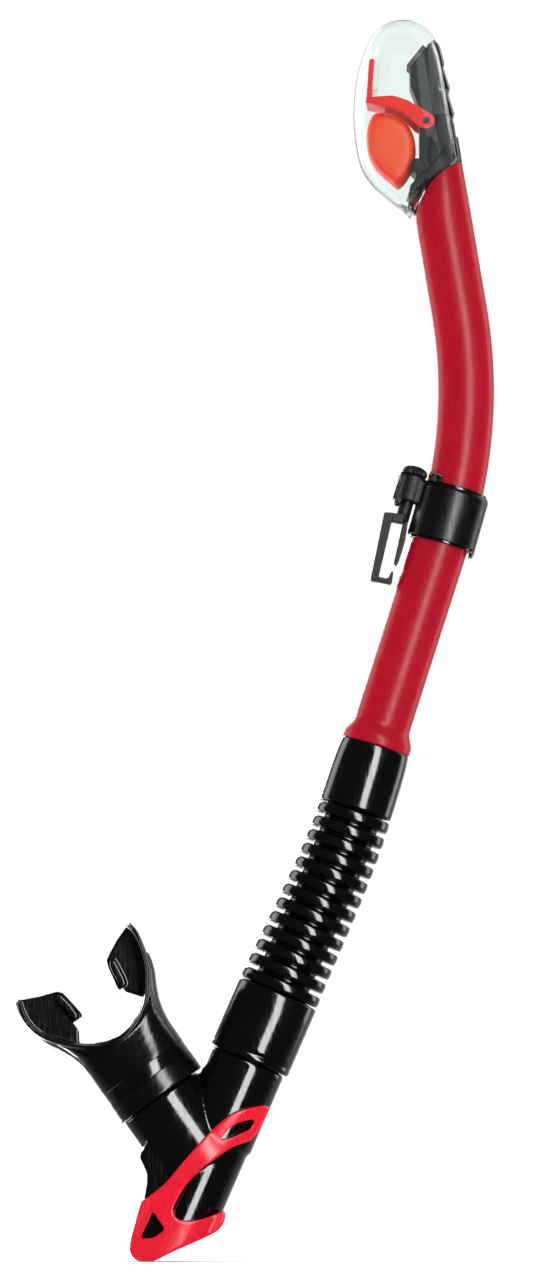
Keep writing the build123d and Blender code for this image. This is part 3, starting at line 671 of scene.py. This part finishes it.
carve(mouthpiece, [
    lathe(branch, [(0.0, 20.0), (SLEEVE_BORE, 20.0), (SLEEVE_BORE, 46.3), (0.0, 46.3)]),
    loft([
        [branch.at(NECK_BORE * cos(angle), height, PASSAGE_HALF * sin(angle)) for angle in passage_angles]
        for height in (40.0, 70.0)
    ]),
    lathe(branch, [(BAND_SEAT_R, 36.1), (21.0, 36.1), (21.0, 41.3), (BAND_SEAT_R, 41.3)]),
])
finish_piece(mouthpiece, "mouth", MOUTH_SILICONE, "silicone_black", "mouthpiece", sharp=80)

BAND_PROFILE = ((BAND_SEAT_R, 36.15), (18.15, 36.15), (18.15, 41.25), (BAND_SEAT_R, 41.25))
band = new_mesh("mouthpiece_clamp_band", [lathe(branch, soft_corners(BAND_PROFILE, 0.35))])
finish_piece(band, "mouth", BLACK_PLASTIC, "plastic_black", "mouthpiece_band")

# ---------------------------------------------------------------- lower body, with the barrel and the branch
purge = Place(PURGE_CENTRE, PURGE_LEAN)
branch_body = Place((CROSSING[0] - 0.75, CROSSING[1] - 0.5), BRANCH_LEAN)
BARREL_PROFILE = (
    (0.1, -42), (13.6, -42), (13.6, 7.2), (13.95, 7.6), (14.5, 8.2), (14.5, 38.6), (14.1, 39.7), (0.1, 39.7),
)
SPIGOT_R = BARREL_BORE - 0.1
HEEL = (  # the body's own outline between the branch and the cover
    (-86.0, -216.0), (-92.2, -226.4), (-94.0, -229.4, 0.6), (-94.2, -230.9, 0.6), (-92.9, -233.6),
    (-91.5, -236.4), (-91.6, -240.4), (-92.5, -245.6), (-94.3, -255.0), (-95.2, -262.0), (-92.0, -266.0),
    (-74.0, -258.0), (-72.0, -240.0), (-72.0, -226.0),
)
UNDER_TOE = ((-63.6, -250.6), (-65.2, -254), (-68, -262), (-50, -262), (-50, -250.6))
BEHIND_HEEL = ((-94.6, -255), (-95.6, -263), (-94.9, -275), (-110, -275), (-110, -255))
lower_body = new_mesh("lower_body", [
    lathe(barrel, BARREL_PROFILE, 128),
    lathe(barrel, [(0.1, 38), (SPIGOT_R, 38), (SPIGOT_R, 57.5), (0.1, 57.5)]),
    lathe(branch_body, [(0.1, -2), (16.6, -2), (16.8, 27.6), (16.3, 28.4), (0.1, 28.4)], 128),
    lathe(branch, [(0.1, 26), (13.5, 26), (13.5, 46), (0.1, 46)]),
    prism(WORLD, soft_corners(HEEL, 1.5), -11.0, 11.0),
])
carve(lower_body, [
    lathe(purge, [(0.0, -2.7), (60.0, -2.7), (60.0, 40.0), (0.0, 40.0)]),
    prism(WORLD, UNDER_TOE, -THROUGH, THROUGH),
    prism(WORLD, BEHIND_HEEL, -THROUGH, THROUGH),
])
moulded(lower_body, 0.45, 10)
carve(lower_body, [
    lathe(barrel, [(0.0, -16), (10.2, -16), (10.2, 60), (0.0, 60)]),
    lathe(branch, [(0.0, -2), (NECK_BORE, -2), (NECK_BORE, 48), (0.0, 48)]),
    lathe(purge, [(0.0, -8.0), (12.9, -8.0), (12.9, 0.0), (0.0, 0.0)]),
    lathe(branch, [(12.7, 33.0), (15.0, 33.0), (15.0, 34.8), (12.7, 34.8)]),
])
finish_piece(lower_body, "lower", BLACK_PLASTIC, "plastic_black", "lower_barrel", sharp=50)

# ---------------------------------------------------------------- red purge cover
COVER_TOP = (
    (-93.6, -246.9), (-90.6, -244.8), (-87.4, -242.4), (-84.0, -239.4), (-80.2, -234.9), (-76.1, -230.2),
    (-71.8, -225.2), (-68.2, -221.4), (-64.3, -217.8), (-60.4, -214.9), (-56.2, -213.1), (-52.0, -212.0),
    (-48.0, -211.3), (-45.6, -210.7),
)
COVER_FOOT = (
    (-55.6, -225.4), (-59.4, -226.8), (-63.4, -229.3), (-67.5, -232.4), (-71.8, -235.6), (-75.4, -239.2),
    (-78.3, -243.1), (-80.4, -246.9), (-81.6, -249.6), (-81.3, -251.8), (-80.2, -253.3), (-77.8, -254.1),
    (-74.4, -254.1), (-69.6, -253.0), (-66.0, -251.6), (-63.3, -250.2),
)
COVER_CUP = (
    (-62.4, -251.6), (-62.8, -254.2), (-64.8, -257.4), (-68.4, -259.6), (-74.4, -262.4), (-80.5, -265.0),
    (-84.8, -267.1), (-88.0, -268.7), (-91.2, -269.4), (-94.2, -269.2), (-96.6, -267.8), (-98.0, -264.8),
    (-97.4, -260.4), (-95.8, -254.6), (-94.3, -249.0),
)
COVER_TIP = ((-45.4, -211.6), (-48.6, -218.2), (-50.9, -221.9), (-53.2, -224.5))
cover_outline = [
    point for line in (COVER_TOP, COVER_TIP, COVER_FOOT, COVER_CUP) for point in smooth_line(line, 3)
]
COVER_R = 16.6
COVER_BLOCK = ((-100, -236), (-78, -236), (-60, -250), (-60, -275), (-100, -275))
COVER_HOLLOW = (
    (-91.7, -240), (-93.2, -250), (-94.9, -262), (-92.4, -264.8), (-69, -255.6), (-68, -250), (-75, -232),
)
UPPER_WINDOW = (
    (-64.3, -224.3), (-63.3, -222.6), (-60.8, -219.8), (-56.8, -217.6), (-52.3, -216.5), (-51.6, -217.6),
    (-53.2, -220.2), (-56.6, -221.9), (-61.1, -223.9),
)
LOWER_WINDOW = ((-89.3, -250.5), (-84.6, -257.4), (-89.1, -260.5), (-93.9, -260.7))
cover = new_mesh("purge_cover_red", [
    lathe(barrel, [(0.1, -44), (COVER_R, -44), (COVER_R, 27), (0.1, 27)], 128),
    lathe(branch_body, [(0.1, -4), (18.5, -4), (18.5, 20), (0.1, 20)], 128),
    prism(WORLD, soft_corners(COVER_BLOCK, 3), -12.0, 12.0),
])
moulded(cover, 0.5, 0)
carve(cover, [prism(WORLD, cover_outline, -THROUGH, THROUGH)], "INTERSECT")
moulded(cover, 0.4, 14)
carve(cover, [
    lathe(barrel, [(0.0, -22), (14.62, -22), (14.62, 30), (0.0, 30)], 128),
    lathe(branch_body, [(0.0, -0.5), (16.95, -0.5), (16.95, 30), (0.0, 30)], 128),
    prism(WORLD, soft_corners(COVER_HOLLOW, 1.0), -11.3, 11.3),
    lathe(purge, [(0.0, -6.0), (13.8, -6.0), (13.8, 3.0), (0.0, 3.0)]),
    prism(WORLD, soft_corners(UPPER_WINDOW, 0.7), -THROUGH, THROUGH),
    prism(WORLD, soft_corners(LOWER_WINDOW, 1.2), -THROUGH, THROUGH),
])
moulded(cover, 0.26, 8)
finish_piece(cover, "lower", COVER_RED, "cover_red", "purge_cover", sharp=70)

# ---------------------------------------------------------------- keeper, clip and knob
BAND_LINE = ((12.05, -10), (13.1, -10), (13.1, 8.7), (12.5, 10), (12.05, 10))
keeper_ring = new_mesh("keeper_ring", [lathe(keeper, soft_corners(BAND_LINE, 0.3))])
finish_piece(keeper_ring, "keeper", BAND_PLASTIC, "plastic_black", "keeper_band")

SOCKET_OFFSET = 16.4    # from the tube's axis to the stem's
socket_line = Place(along(keeper_centre, -KEEPER_ANGLE + 90, -SOCKET_OFFSET), -KEEPER_ANGLE)
SOCKET_BLOCK = ((-21.0, -0.8), (-18.7, -0.8), (-18.3, 1.5), (-10.6, 1.5), (-10.6, 9.7), (-21.0, 10.3))
OUTER_RIB = ((-22.0, 1.0), (-20.6, 1.0), (-20.6, 11.6), (-21.4, 11.6))
moulding = new_mesh("keeper_socket_moulding", [
    lathe(socket_line, soft_corners([(0.1, 1.5), (5.6, 1.5), (5.6, 11.3), (0.1, 11.3)], 0.5), 64),
    prism(keeper, soft_corners(SOCKET_BLOCK, 0.7), -4.9, 4.9),
    prism(keeper, OUTER_RIB, -3.2, 3.2),
])
moulded(moulding, 0.22, 2)
carve(moulding, [
    lathe(keeper, [(0.0, -30), (12.3, -30), (12.3, 30), (0.0, 30)]),
    lathe(socket_line, [(0.0, 0), (3.0, 0), (3.0, 15), (0.0, 15)], 48),
    lathe(socket_line, [(0.0, -3), (4.4, -3), (4.4, 5.1), (0.0, 5.1)], 48),
])
moulded(moulding, 0.2, 3)
finish_piece(moulding, "keeper", KEEPER_PLASTIC, "plastic_black", sharp=50)

# the sleeve under the band, with a small lug past each end of the band
LOWER_LUG = ((11.4, -10.2), (13.3, -10.2), (12.9, -12.6), (11.2, -12.8))
UPPER_LUG = ((-10.6, 10.2), (-4.2, 10.2), (-4.4, 13.6), (-10.0, 14.0))
liner = new_mesh("keeper_sleeve", [
    lathe(keeper, soft_corners([(10.2, -11), (LINER_R, -11), (LINER_R, 11), (10.2, 11)], 0.2)),
    prism(keeper, soft_corners(LOWER_LUG, 0.4), -3.4, 3.4),
    prism(keeper, soft_corners(UPPER_LUG, 0.5), -9.6, -5.6),
])
moulded(liner, 0.22, 3)
# its bore follows the bend of the tube
bore_turns = [KEEPER_ANGLE - 6 + k for k in range(13)]
carve(liner, [loft([circle(Place(on_bend(turn), -turn), LINER_BORE, 0, 128) for turn in bore_turns])])
finish_piece(liner, "liner", BLACK_SILICONE, "rubber_black", "keeper_liner", sharp=40)

# strap clip: outer bar, foot with a hooked end, inner prong, bridge, and the stem with its root
OUTER_BAR = ((-5.0, -16.0), (-2.2, -16.0), (-2.2, -13.8), (-1.6, 7.4), (-1.6, 10.4), (-5.0, 9.9))
FOOT_HOOK = (
    (-5.0, -16.0), (2.9, -16.0), (3.1, -14.6), (2.8, -11.6), (2.4, -11.0), (1.9, -11.7), (1.6, -13.6),
    (0.8, -14.3), (-5.0, -14.3),
)
PRONG = ((2.6, 8.6), (2.3, -7.8), (2.8, -8.8), (3.5, -8.6), (4.0, -7.0), (4.8, 0.6), (4.7, 3.4), (4.4, 8.6))
BRIDGE = ((-5.0, 7.2), (2.6, 7.2), (2.6, 10.9), (-5.0, 9.9))
STEM_ROOT = ((1.4, 7.2), (4.4, 7.2), (4.4, 11.2), (1.4, 11.2))
strap = new_mesh("mask_strap_clip", [
    prism(clip, soft_corners(OUTER_BAR, 0.5), -4.0, 4.0),
    prism(clip, soft_corners(FOOT_HOOK, 0.4), -3.0, 3.0),
    prism(clip, soft_corners(PRONG, 0.4), -1.6, 1.6),
    prism(clip, soft_corners(BRIDGE, 0.5), -3.2, 3.2),
    prism(clip, soft_corners(STEM_ROOT, 0.4), -1.6, 1.6),
    lathe(socket_line, [(0.1, -6.4), (2.3, -6.4), (2.6, -6.0), (2.6, 11.9), (0.1, 11.9)], 64),
])
moulded(strap, 0.18, 3)
finish_piece(strap, "clip", KEEPER_PLASTIC, "plastic_black", "strap_clip", sharp=50)

LOBES = 12
KNOB = (  # radius, height, depth of the serration
    (0.02, 11.5, 0.0), (3.7, 11.5, 0.2), (4.15, 11.7, 0.35), (4.35, 12.2, 0.4), (4.3, 12.9, 0.4),
    (4.05, 13.6, 0.38), (3.6, 14.2, 0.34), (3.0, 14.6, 0.26), (2.3, 14.9, 0.1), (1.3, 15.1, 0.0),
    (0.02, 15.15, 0.0),
)
knob_rings = [circle(socket_line, radius, height, 144, LOBES, depth) for radius, height, depth in KNOB]
knob = new_mesh("clip_knob_serrated", [loft(knob_rings)])
finish_piece(knob, "clip", KEEPER_PLASTIC, "plastic_black", "clip_knob", sharp=60)

# ---------------------------------------------------------------- dry-top head
CAP_LEFT = (
    (7.3, 123.4), (1.9, 127.1), (-2.4, 130.6), (-6.4, 134.0), (-10.6, 139.6), (-12.9, 147.0), (-14.2, 157.0),
    (-14.2, 165.0), (-13.2, 174.5), (-11.2, 182.6), (-8.6, 189.0), (-5.2, 193.8), (-1.0, 196.4), (4.5, 197.5),
)
CAP_RIGHT = (
    (7.3, 123.4), (13.6, 130.0), (20.0, 136.6), (26.2, 143.0), (24.6, 152.0), (22.6, 164.5), (20.4, 177.0),
    (18.4, 185.6), (16.0, 190.8), (12.6, 194.4), (8.6, 196.8), (4.5, 197.5),
)


def reach_at(line, z):
    """The x of an outline at a height."""
    for low, high in zip(line, line[1:]):
        if low.y <= z <= high.y:
            share = (z - low.y) / max(high.y - low.y, 1e-6)
            return low.x + (high.x - low.x) * share
    return line[-1].x


left_line = smooth_line(CAP_LEFT, 10)
right_line = smooth_line(CAP_RIGHT[:4], 4) + smooth_line(CAP_RIGHT[3:], 10)


CAP_HALF = 17.0
CAP_FOOT = 123.6
CAP_TOP = 197.42
HOLLOW_FOOT = 125.5
HOLLOW_TOP = 196.3


def half_depth(z):
    """Half the cap's depth (along Y) at a height: it grows from the foot and closes in a dome."""
    if z < 152:
        return 9 + (z - 110) * 8 / 42
    if z < 180:
        return CAP_HALF
    return CAP_HALF * sqrt(max(1 - ((z - 180) / 17.6) ** 2, 0))


def cap_rings(inset):
    """Rings up the cap's outer face, or with an inset up the hollow inside it."""
    rings = []
    levels = [CAP_FOOT + 0.6 * k for k in range(4)] + [126 + 2 * k for k in range(32)]
    levels += [190, 191.5, 193, 194.3, 195.4, 196.2, 196.8, 197.2, CAP_TOP]
    for level in levels:
        z = level
        if inset:
            z = HOLLOW_FOOT + (level - CAP_FOOT) * (HOLLOW_TOP - HOLLOW_FOOT) / (CAP_TOP - CAP_FOOT)
        share = min(max((z - 123.4) / 20, 0), 1)
        left = reach_at(left_line, z) + inset
        right = reach_at(right_line, z) - inset * (1 + 0.4 * (1 - share))
        if right - left < 0.4:
            middle = (left + right) / 2
            left, right = middle - 0.2, middle + 0.2
        depth = max(half_depth(z) - inset, 0.3)
        power = 2 / (2.0 + 0.75 * share)
        ring = []
        for k in range(112):
            angle = 2 * pi * k / 112
            cx = abs(cos(angle)) ** power * (1 if cos(angle) > 0 else -1)
            sy = abs(sin(angle)) ** power * (1 if sin(angle) > 0 else -1)
            ring.append(WORLD.at((left + right) / 2 + (right - left) / 2 * cx, z, depth * sy))
        rings.append(ring)
    return rings


CAP_WALL = 1.2
LOUVRE_OPENING = ((15.0, 158.0), (40, 158.0), (40, 187.0), (15.0, 187.0))
cap = new_mesh("clear_cap_shell", [loft(cap_rings(0))])
carve(cap, [
    loft(cap_rings(CAP_WALL)),
    prism(WORLD, LOUVRE_OPENING, -9.0, 9.0),
    lathe(head, [(0.0, -30), (TUBE_R, -30), (TUBE_R, 12), (0.0, 12)]),
])
finish_piece(cap, "tube", CLEAR_PLASTIC, "clear_plastic", "clear_cap", sharp=50)
cap.visible_shadow = False      # daylight reaches the float through the cap

BACK_SHIELD = (
    (17.6, 161.0), (20.2, 160.6), (22.6, 158.6), (24.9, 144.4), (22.0, 141.6), (15.0, 135.4), (14.0, 146.0),
)
LATCH = ((6.4, 131.2), (8.2, 130.6), (13.4, 135.0), (12.8, 137.6), (11.0, 137.4), (7.0, 133.6))
STRUT = ((6.6, 140.2), (9.8, 137.4), (12.4, 139.6), (11.4, 143.6), (8.4, 143.8))
tower = new_mesh("head_tower", [
    solid_of("head_body"),
    prism(WORLD, soft_corners(BACK_SHIELD, 1.2), -9.0, 9.0),
    prism(WORLD, soft_corners(LATCH, 0.8), -11.4, 11.4),
    prism(WORLD, soft_corners(STRUT, 0.8), -9.4, 9.4),
])
moulded(tower, 0.32, 5)
finish_piece(tower, "tube", TOWER_PLASTIC, "plastic_black", "head_body", sharp=60)

# overlapping scales on a spine
FINS = (((18.0, 187.2), (19.9, 179.4)), ((19.7, 178.0), (22.0, 170.2)), ((21.3, 168.4), (23.6, 160.4)))
SPINE = ((13.4, 187.0), (15.6, 187.8), (17.2, 172.0), (19.4, 160.4), (15.6, 160.6), (13.6, 172.0))
fin_solids = []
for (top_x, top_z), (foot_x, foot_z) in FINS:
    scale = soft_corners([
        (top_x - 3.4, top_z + 1.0), (top_x - 0.6, top_z + 0.4), (top_x + 0.2, top_z - 1.0),
        (foot_x, foot_z + 0.2), (foot_x - 0.5, foot_z - 0.5), (foot_x - 1.3, foot_z - 0.2),
        (foot_x - 4.2, foot_z + 3.4),
    ], 0.5)
    fin_solids.append(prism(WORLD, scale, -8.6, 8.6))
fin_solids.append(prism(WORLD, SPINE, -9.0, 9.0))
fins = new_mesh("louvre_fins", fin_solids)
moulded(fins, 0.25, 3)
finish_piece(fins, "tube", BLACK_PLASTIC, "plastic_black", "louvre_guard", sharp=60)

lever = new_mesh("float_lever_arm", [solid_of("float_lever")])
moulded(lever, 0.25, 4)
finish_piece(lever, "float", LEVER_RED, "lever_red", "float_lever", sharp=60)

FLOAT = (
    (-6.4, 161.6), (-8.8, 158.0), (-9.6, 152.6), (-9.0, 146.9), (-6.9, 142.1), (-3.8, 138.5), (-0.5, 135.7),
    (2.4, 133.4), (5.6, 136.0), (8.0, 140.8), (9.1, 146.0), (8.8, 151.6), (6.8, 156.4), (3.3, 159.8),
    (-0.8, 161.6),
)
FLOAT_SIDE = (  # (distance from the plane of symmetry, size of the outline there)
    (8.6, 0.02), (8.6, 0.5), (8.5, 0.7), (8.3, 0.78), (7.8, 0.85), (6.9, 0.91), (5.4, 0.96), (3.0, 0.99),
)
float_line = smooth_line(FLOAT, 5, closed=True)
float_middle = Vector((0.0, 148.5))


def float_ring(y, share):
    return [WORLD.at(*(float_middle + (p - float_middle) * share), y) for p in float_line]


float_sections = [(-y, share) for y, share in FLOAT_SIDE] + [(0.0, 1.0)] + list(FLOAT_SIDE[::-1])
float_piece = new_mesh("float_drum", [loft([float_ring(y, share) for y, share in float_sections])])
finish_piece(float_piece, "float", FLOAT_ORANGE, "float_orange", "float_body", sharp=70)

# ---------------------------------------------------------------- CAD nodes that stay, with their finishes
STAYS = {
    "purge_seat": BLACK_PLASTIC,
    "purge_flap": CLEAR_SILICONE,
    "purge_grille": BLACK_PLASTIC,
    "branch_seal": BLACK_RUBBER,
    "branch_bush": BLACK_PLASTIC,
    "clip_pin": STEEL,
    "pivot_pins": TOWER_PLASTIC,
    "seat_ring": BLACK_RUBBER,
    "head_seal": BLACK_RUBBER,
    "valve_pad": CLEAR_SILICONE,
}
for node, material in STAYS.items():
    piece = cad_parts[node]
    piece.data.materials.clear()
    piece.data.materials.append(material)

# ---------------------------------------------------------------- floor, lights and camera
FLOOR_GAP = 0.0005      # metres under the lowest point of the CAD
floor_mesh = bpy.data.meshes.new("floor")
floor_level = cad_low.z - FLOOR_GAP
floor_mesh.from_pydata(
    [(-4, -4, floor_level), (4, -4, floor_level), (4, 8, floor_level), (-4, 8, floor_level)], [], [(0, 1, 2, 3)]
)
floor = bpy.data.objects.new("floor", floor_mesh)
bpy.context.scene.collection.objects.link(floor)
floor.visible_glossy = False
pale = bpy.data.materials.new("pale_floor")
pale.use_nodes = True
pale_shader = pale.node_tree.nodes["Principled BSDF"]
pale_shader.inputs["Base Color"].default_value = (0.985, 0.985, 0.985, 1)
pale_shader.inputs["Roughness"].default_value = 0.9
pale_shader.inputs["Specular IOR Level"].default_value = 0.0
floor_mesh.materials.append(pale)


LIT_POINT = Vector((-0.04, 0, -0.04))


def studio_light(name, angle, distance, height, width, tall, radiance):
    """A soft box: angle 0 is on the camera's side (-Y), 90 is to the right (+X)."""
    data = bpy.data.lights.new(name, "AREA")
    data.shape = "RECTANGLE"
    data.size = width
    data.size_y = tall
    data.energy = radiance * pi * width * tall
    lamp = bpy.data.objects.new(name, data)
    turn = radians(angle)
    lamp.location = (LIT_POINT.x + distance * sin(turn), LIT_POINT.y - distance * cos(turn), height)
    aim = LIT_POINT - lamp.location
    lamp.rotation_mode = "QUATERNION"
    lamp.rotation_quaternion = aim.to_track_quat("-Z", "Y")
    bpy.context.scene.collection.objects.link(lamp)
    lamp.visible_camera = False
    return lamp


# the strips show only as streaks in the gloss; the plain boxes light the colours
off_cap = bpy.data.collections.new("strips_spare_the_cap")
off_cap.objects.link(cap)
off_cap.collection_objects[0].light_linking.link_state = "EXCLUDE"
for name, angle, width, radiance in (("strip_right", 20, 0.42, 17.0), ("strip_back", 203, 0.4, 10.0)):
    strip = studio_light(name, angle, 1.3, 0.05, width, 1.5, radiance)
    strip.visible_diffuse = False
    strip.light_linking.receiver_collection = off_cap
studio_light("side_left", -115, 1.2, 0.1, 0.5, 1.4, 3.0)
studio_light("side_right", 120, 1.2, 0.1, 0.4, 1.4, 2.4)
for name, angle, radiance in (("key_front", 38, 1.9), ("key_back", 215, 1.6)):
    studio_light(name, angle, 1.5, 0.5, 0.8, 0.8, radiance).visible_glossy = False

world = bpy.data.worlds.new("studio")
bpy.context.scene.world = world
world.use_nodes = True
tree = world.node_tree
tree.nodes.clear()
output = tree.nodes.new("ShaderNodeOutputWorld")
kind_of_ray = tree.nodes.new("ShaderNodeLightPath")


def sky(strength):
    """White light from all around."""
    node = tree.nodes.new("ShaderNodeBackground")
    node.inputs["Color"].default_value = (1, 1, 1, 1)
    node.inputs["Strength"].default_value = strength
    return node


# the camera sees white, also through the cap; the gloss mirrors a dim room that is paler behind the object
seen = sky(1.0)
ambient = sky(1.05)
mirrored = sky(0.0)     # its strength comes from the direction, below
direction = tree.nodes.new("ShaderNodeTexCoord")
split = tree.nodes.new("ShaderNodeSeparateXYZ")
tree.links.new(direction.outputs["Generated"], split.inputs["Vector"])
behind = tree.nodes.new("ShaderNodeMapRange")
behind.inputs["From Min"].default_value = 0.1
behind.inputs["From Max"].default_value = 0.95
behind.inputs["To Min"].default_value = 0.03
behind.inputs["To Max"].default_value = 0.55
tree.links.new(split.outputs["Y"], behind.inputs["Value"])
tree.links.new(behind.outputs["Result"], mirrored.inputs["Strength"])
plain = tree.nodes.new("ShaderNodeMath")
plain.operation = "MAXIMUM"
tree.links.new(kind_of_ray.outputs["Is Camera Ray"], plain.inputs[0])
tree.links.new(kind_of_ray.outputs["Is Transmission Ray"], plain.inputs[1])
first = tree.nodes.new("ShaderNodeMixShader")
tree.links.new(kind_of_ray.outputs["Is Glossy Ray"], first.inputs["Fac"])
tree.links.new(ambient.outputs[0], first.inputs[1])
tree.links.new(mirrored.outputs[0], first.inputs[2])
second = tree.nodes.new("ShaderNodeMixShader")
tree.links.new(plain.outputs[0], second.inputs["Fac"])
tree.links.new(first.outputs[0], second.inputs[1])
tree.links.new(seen.outputs[0], second.inputs[2])
tree.links.new(second.outputs[0], output.inputs["Surface"])

bpy.context.scene.view_settings.view_transform = "Standard"

VIEW_HEIGHT = 0.48      # metres of the plane of symmetry that the picture's long side shows
LENS = 200.0
CAMERA_RISE = -4.5      # degrees: the picture is taken from a little below
camera_data = bpy.data.cameras.new("camera")
camera_data.lens = LENS
camera_data.sensor_width = 36.0
camera_data.clip_end = 50
camera = bpy.data.objects.new("camera", camera_data)
reach = VIEW_HEIGHT * LENS / camera_data.sensor_width
target = Vector((-0.0471, 0, -0.0371))
camera.location = target + Vector((0, -cos(radians(CAMERA_RISE)), sin(radians(CAMERA_RISE)))) * reach
camera.rotation_mode = "QUATERNION"
camera.rotation_quaternion = (target - camera.location).to_track_quat("-Z", "Y")
bpy.context.scene.collection.objects.link(camera)
bpy.context.scene.camera = camera
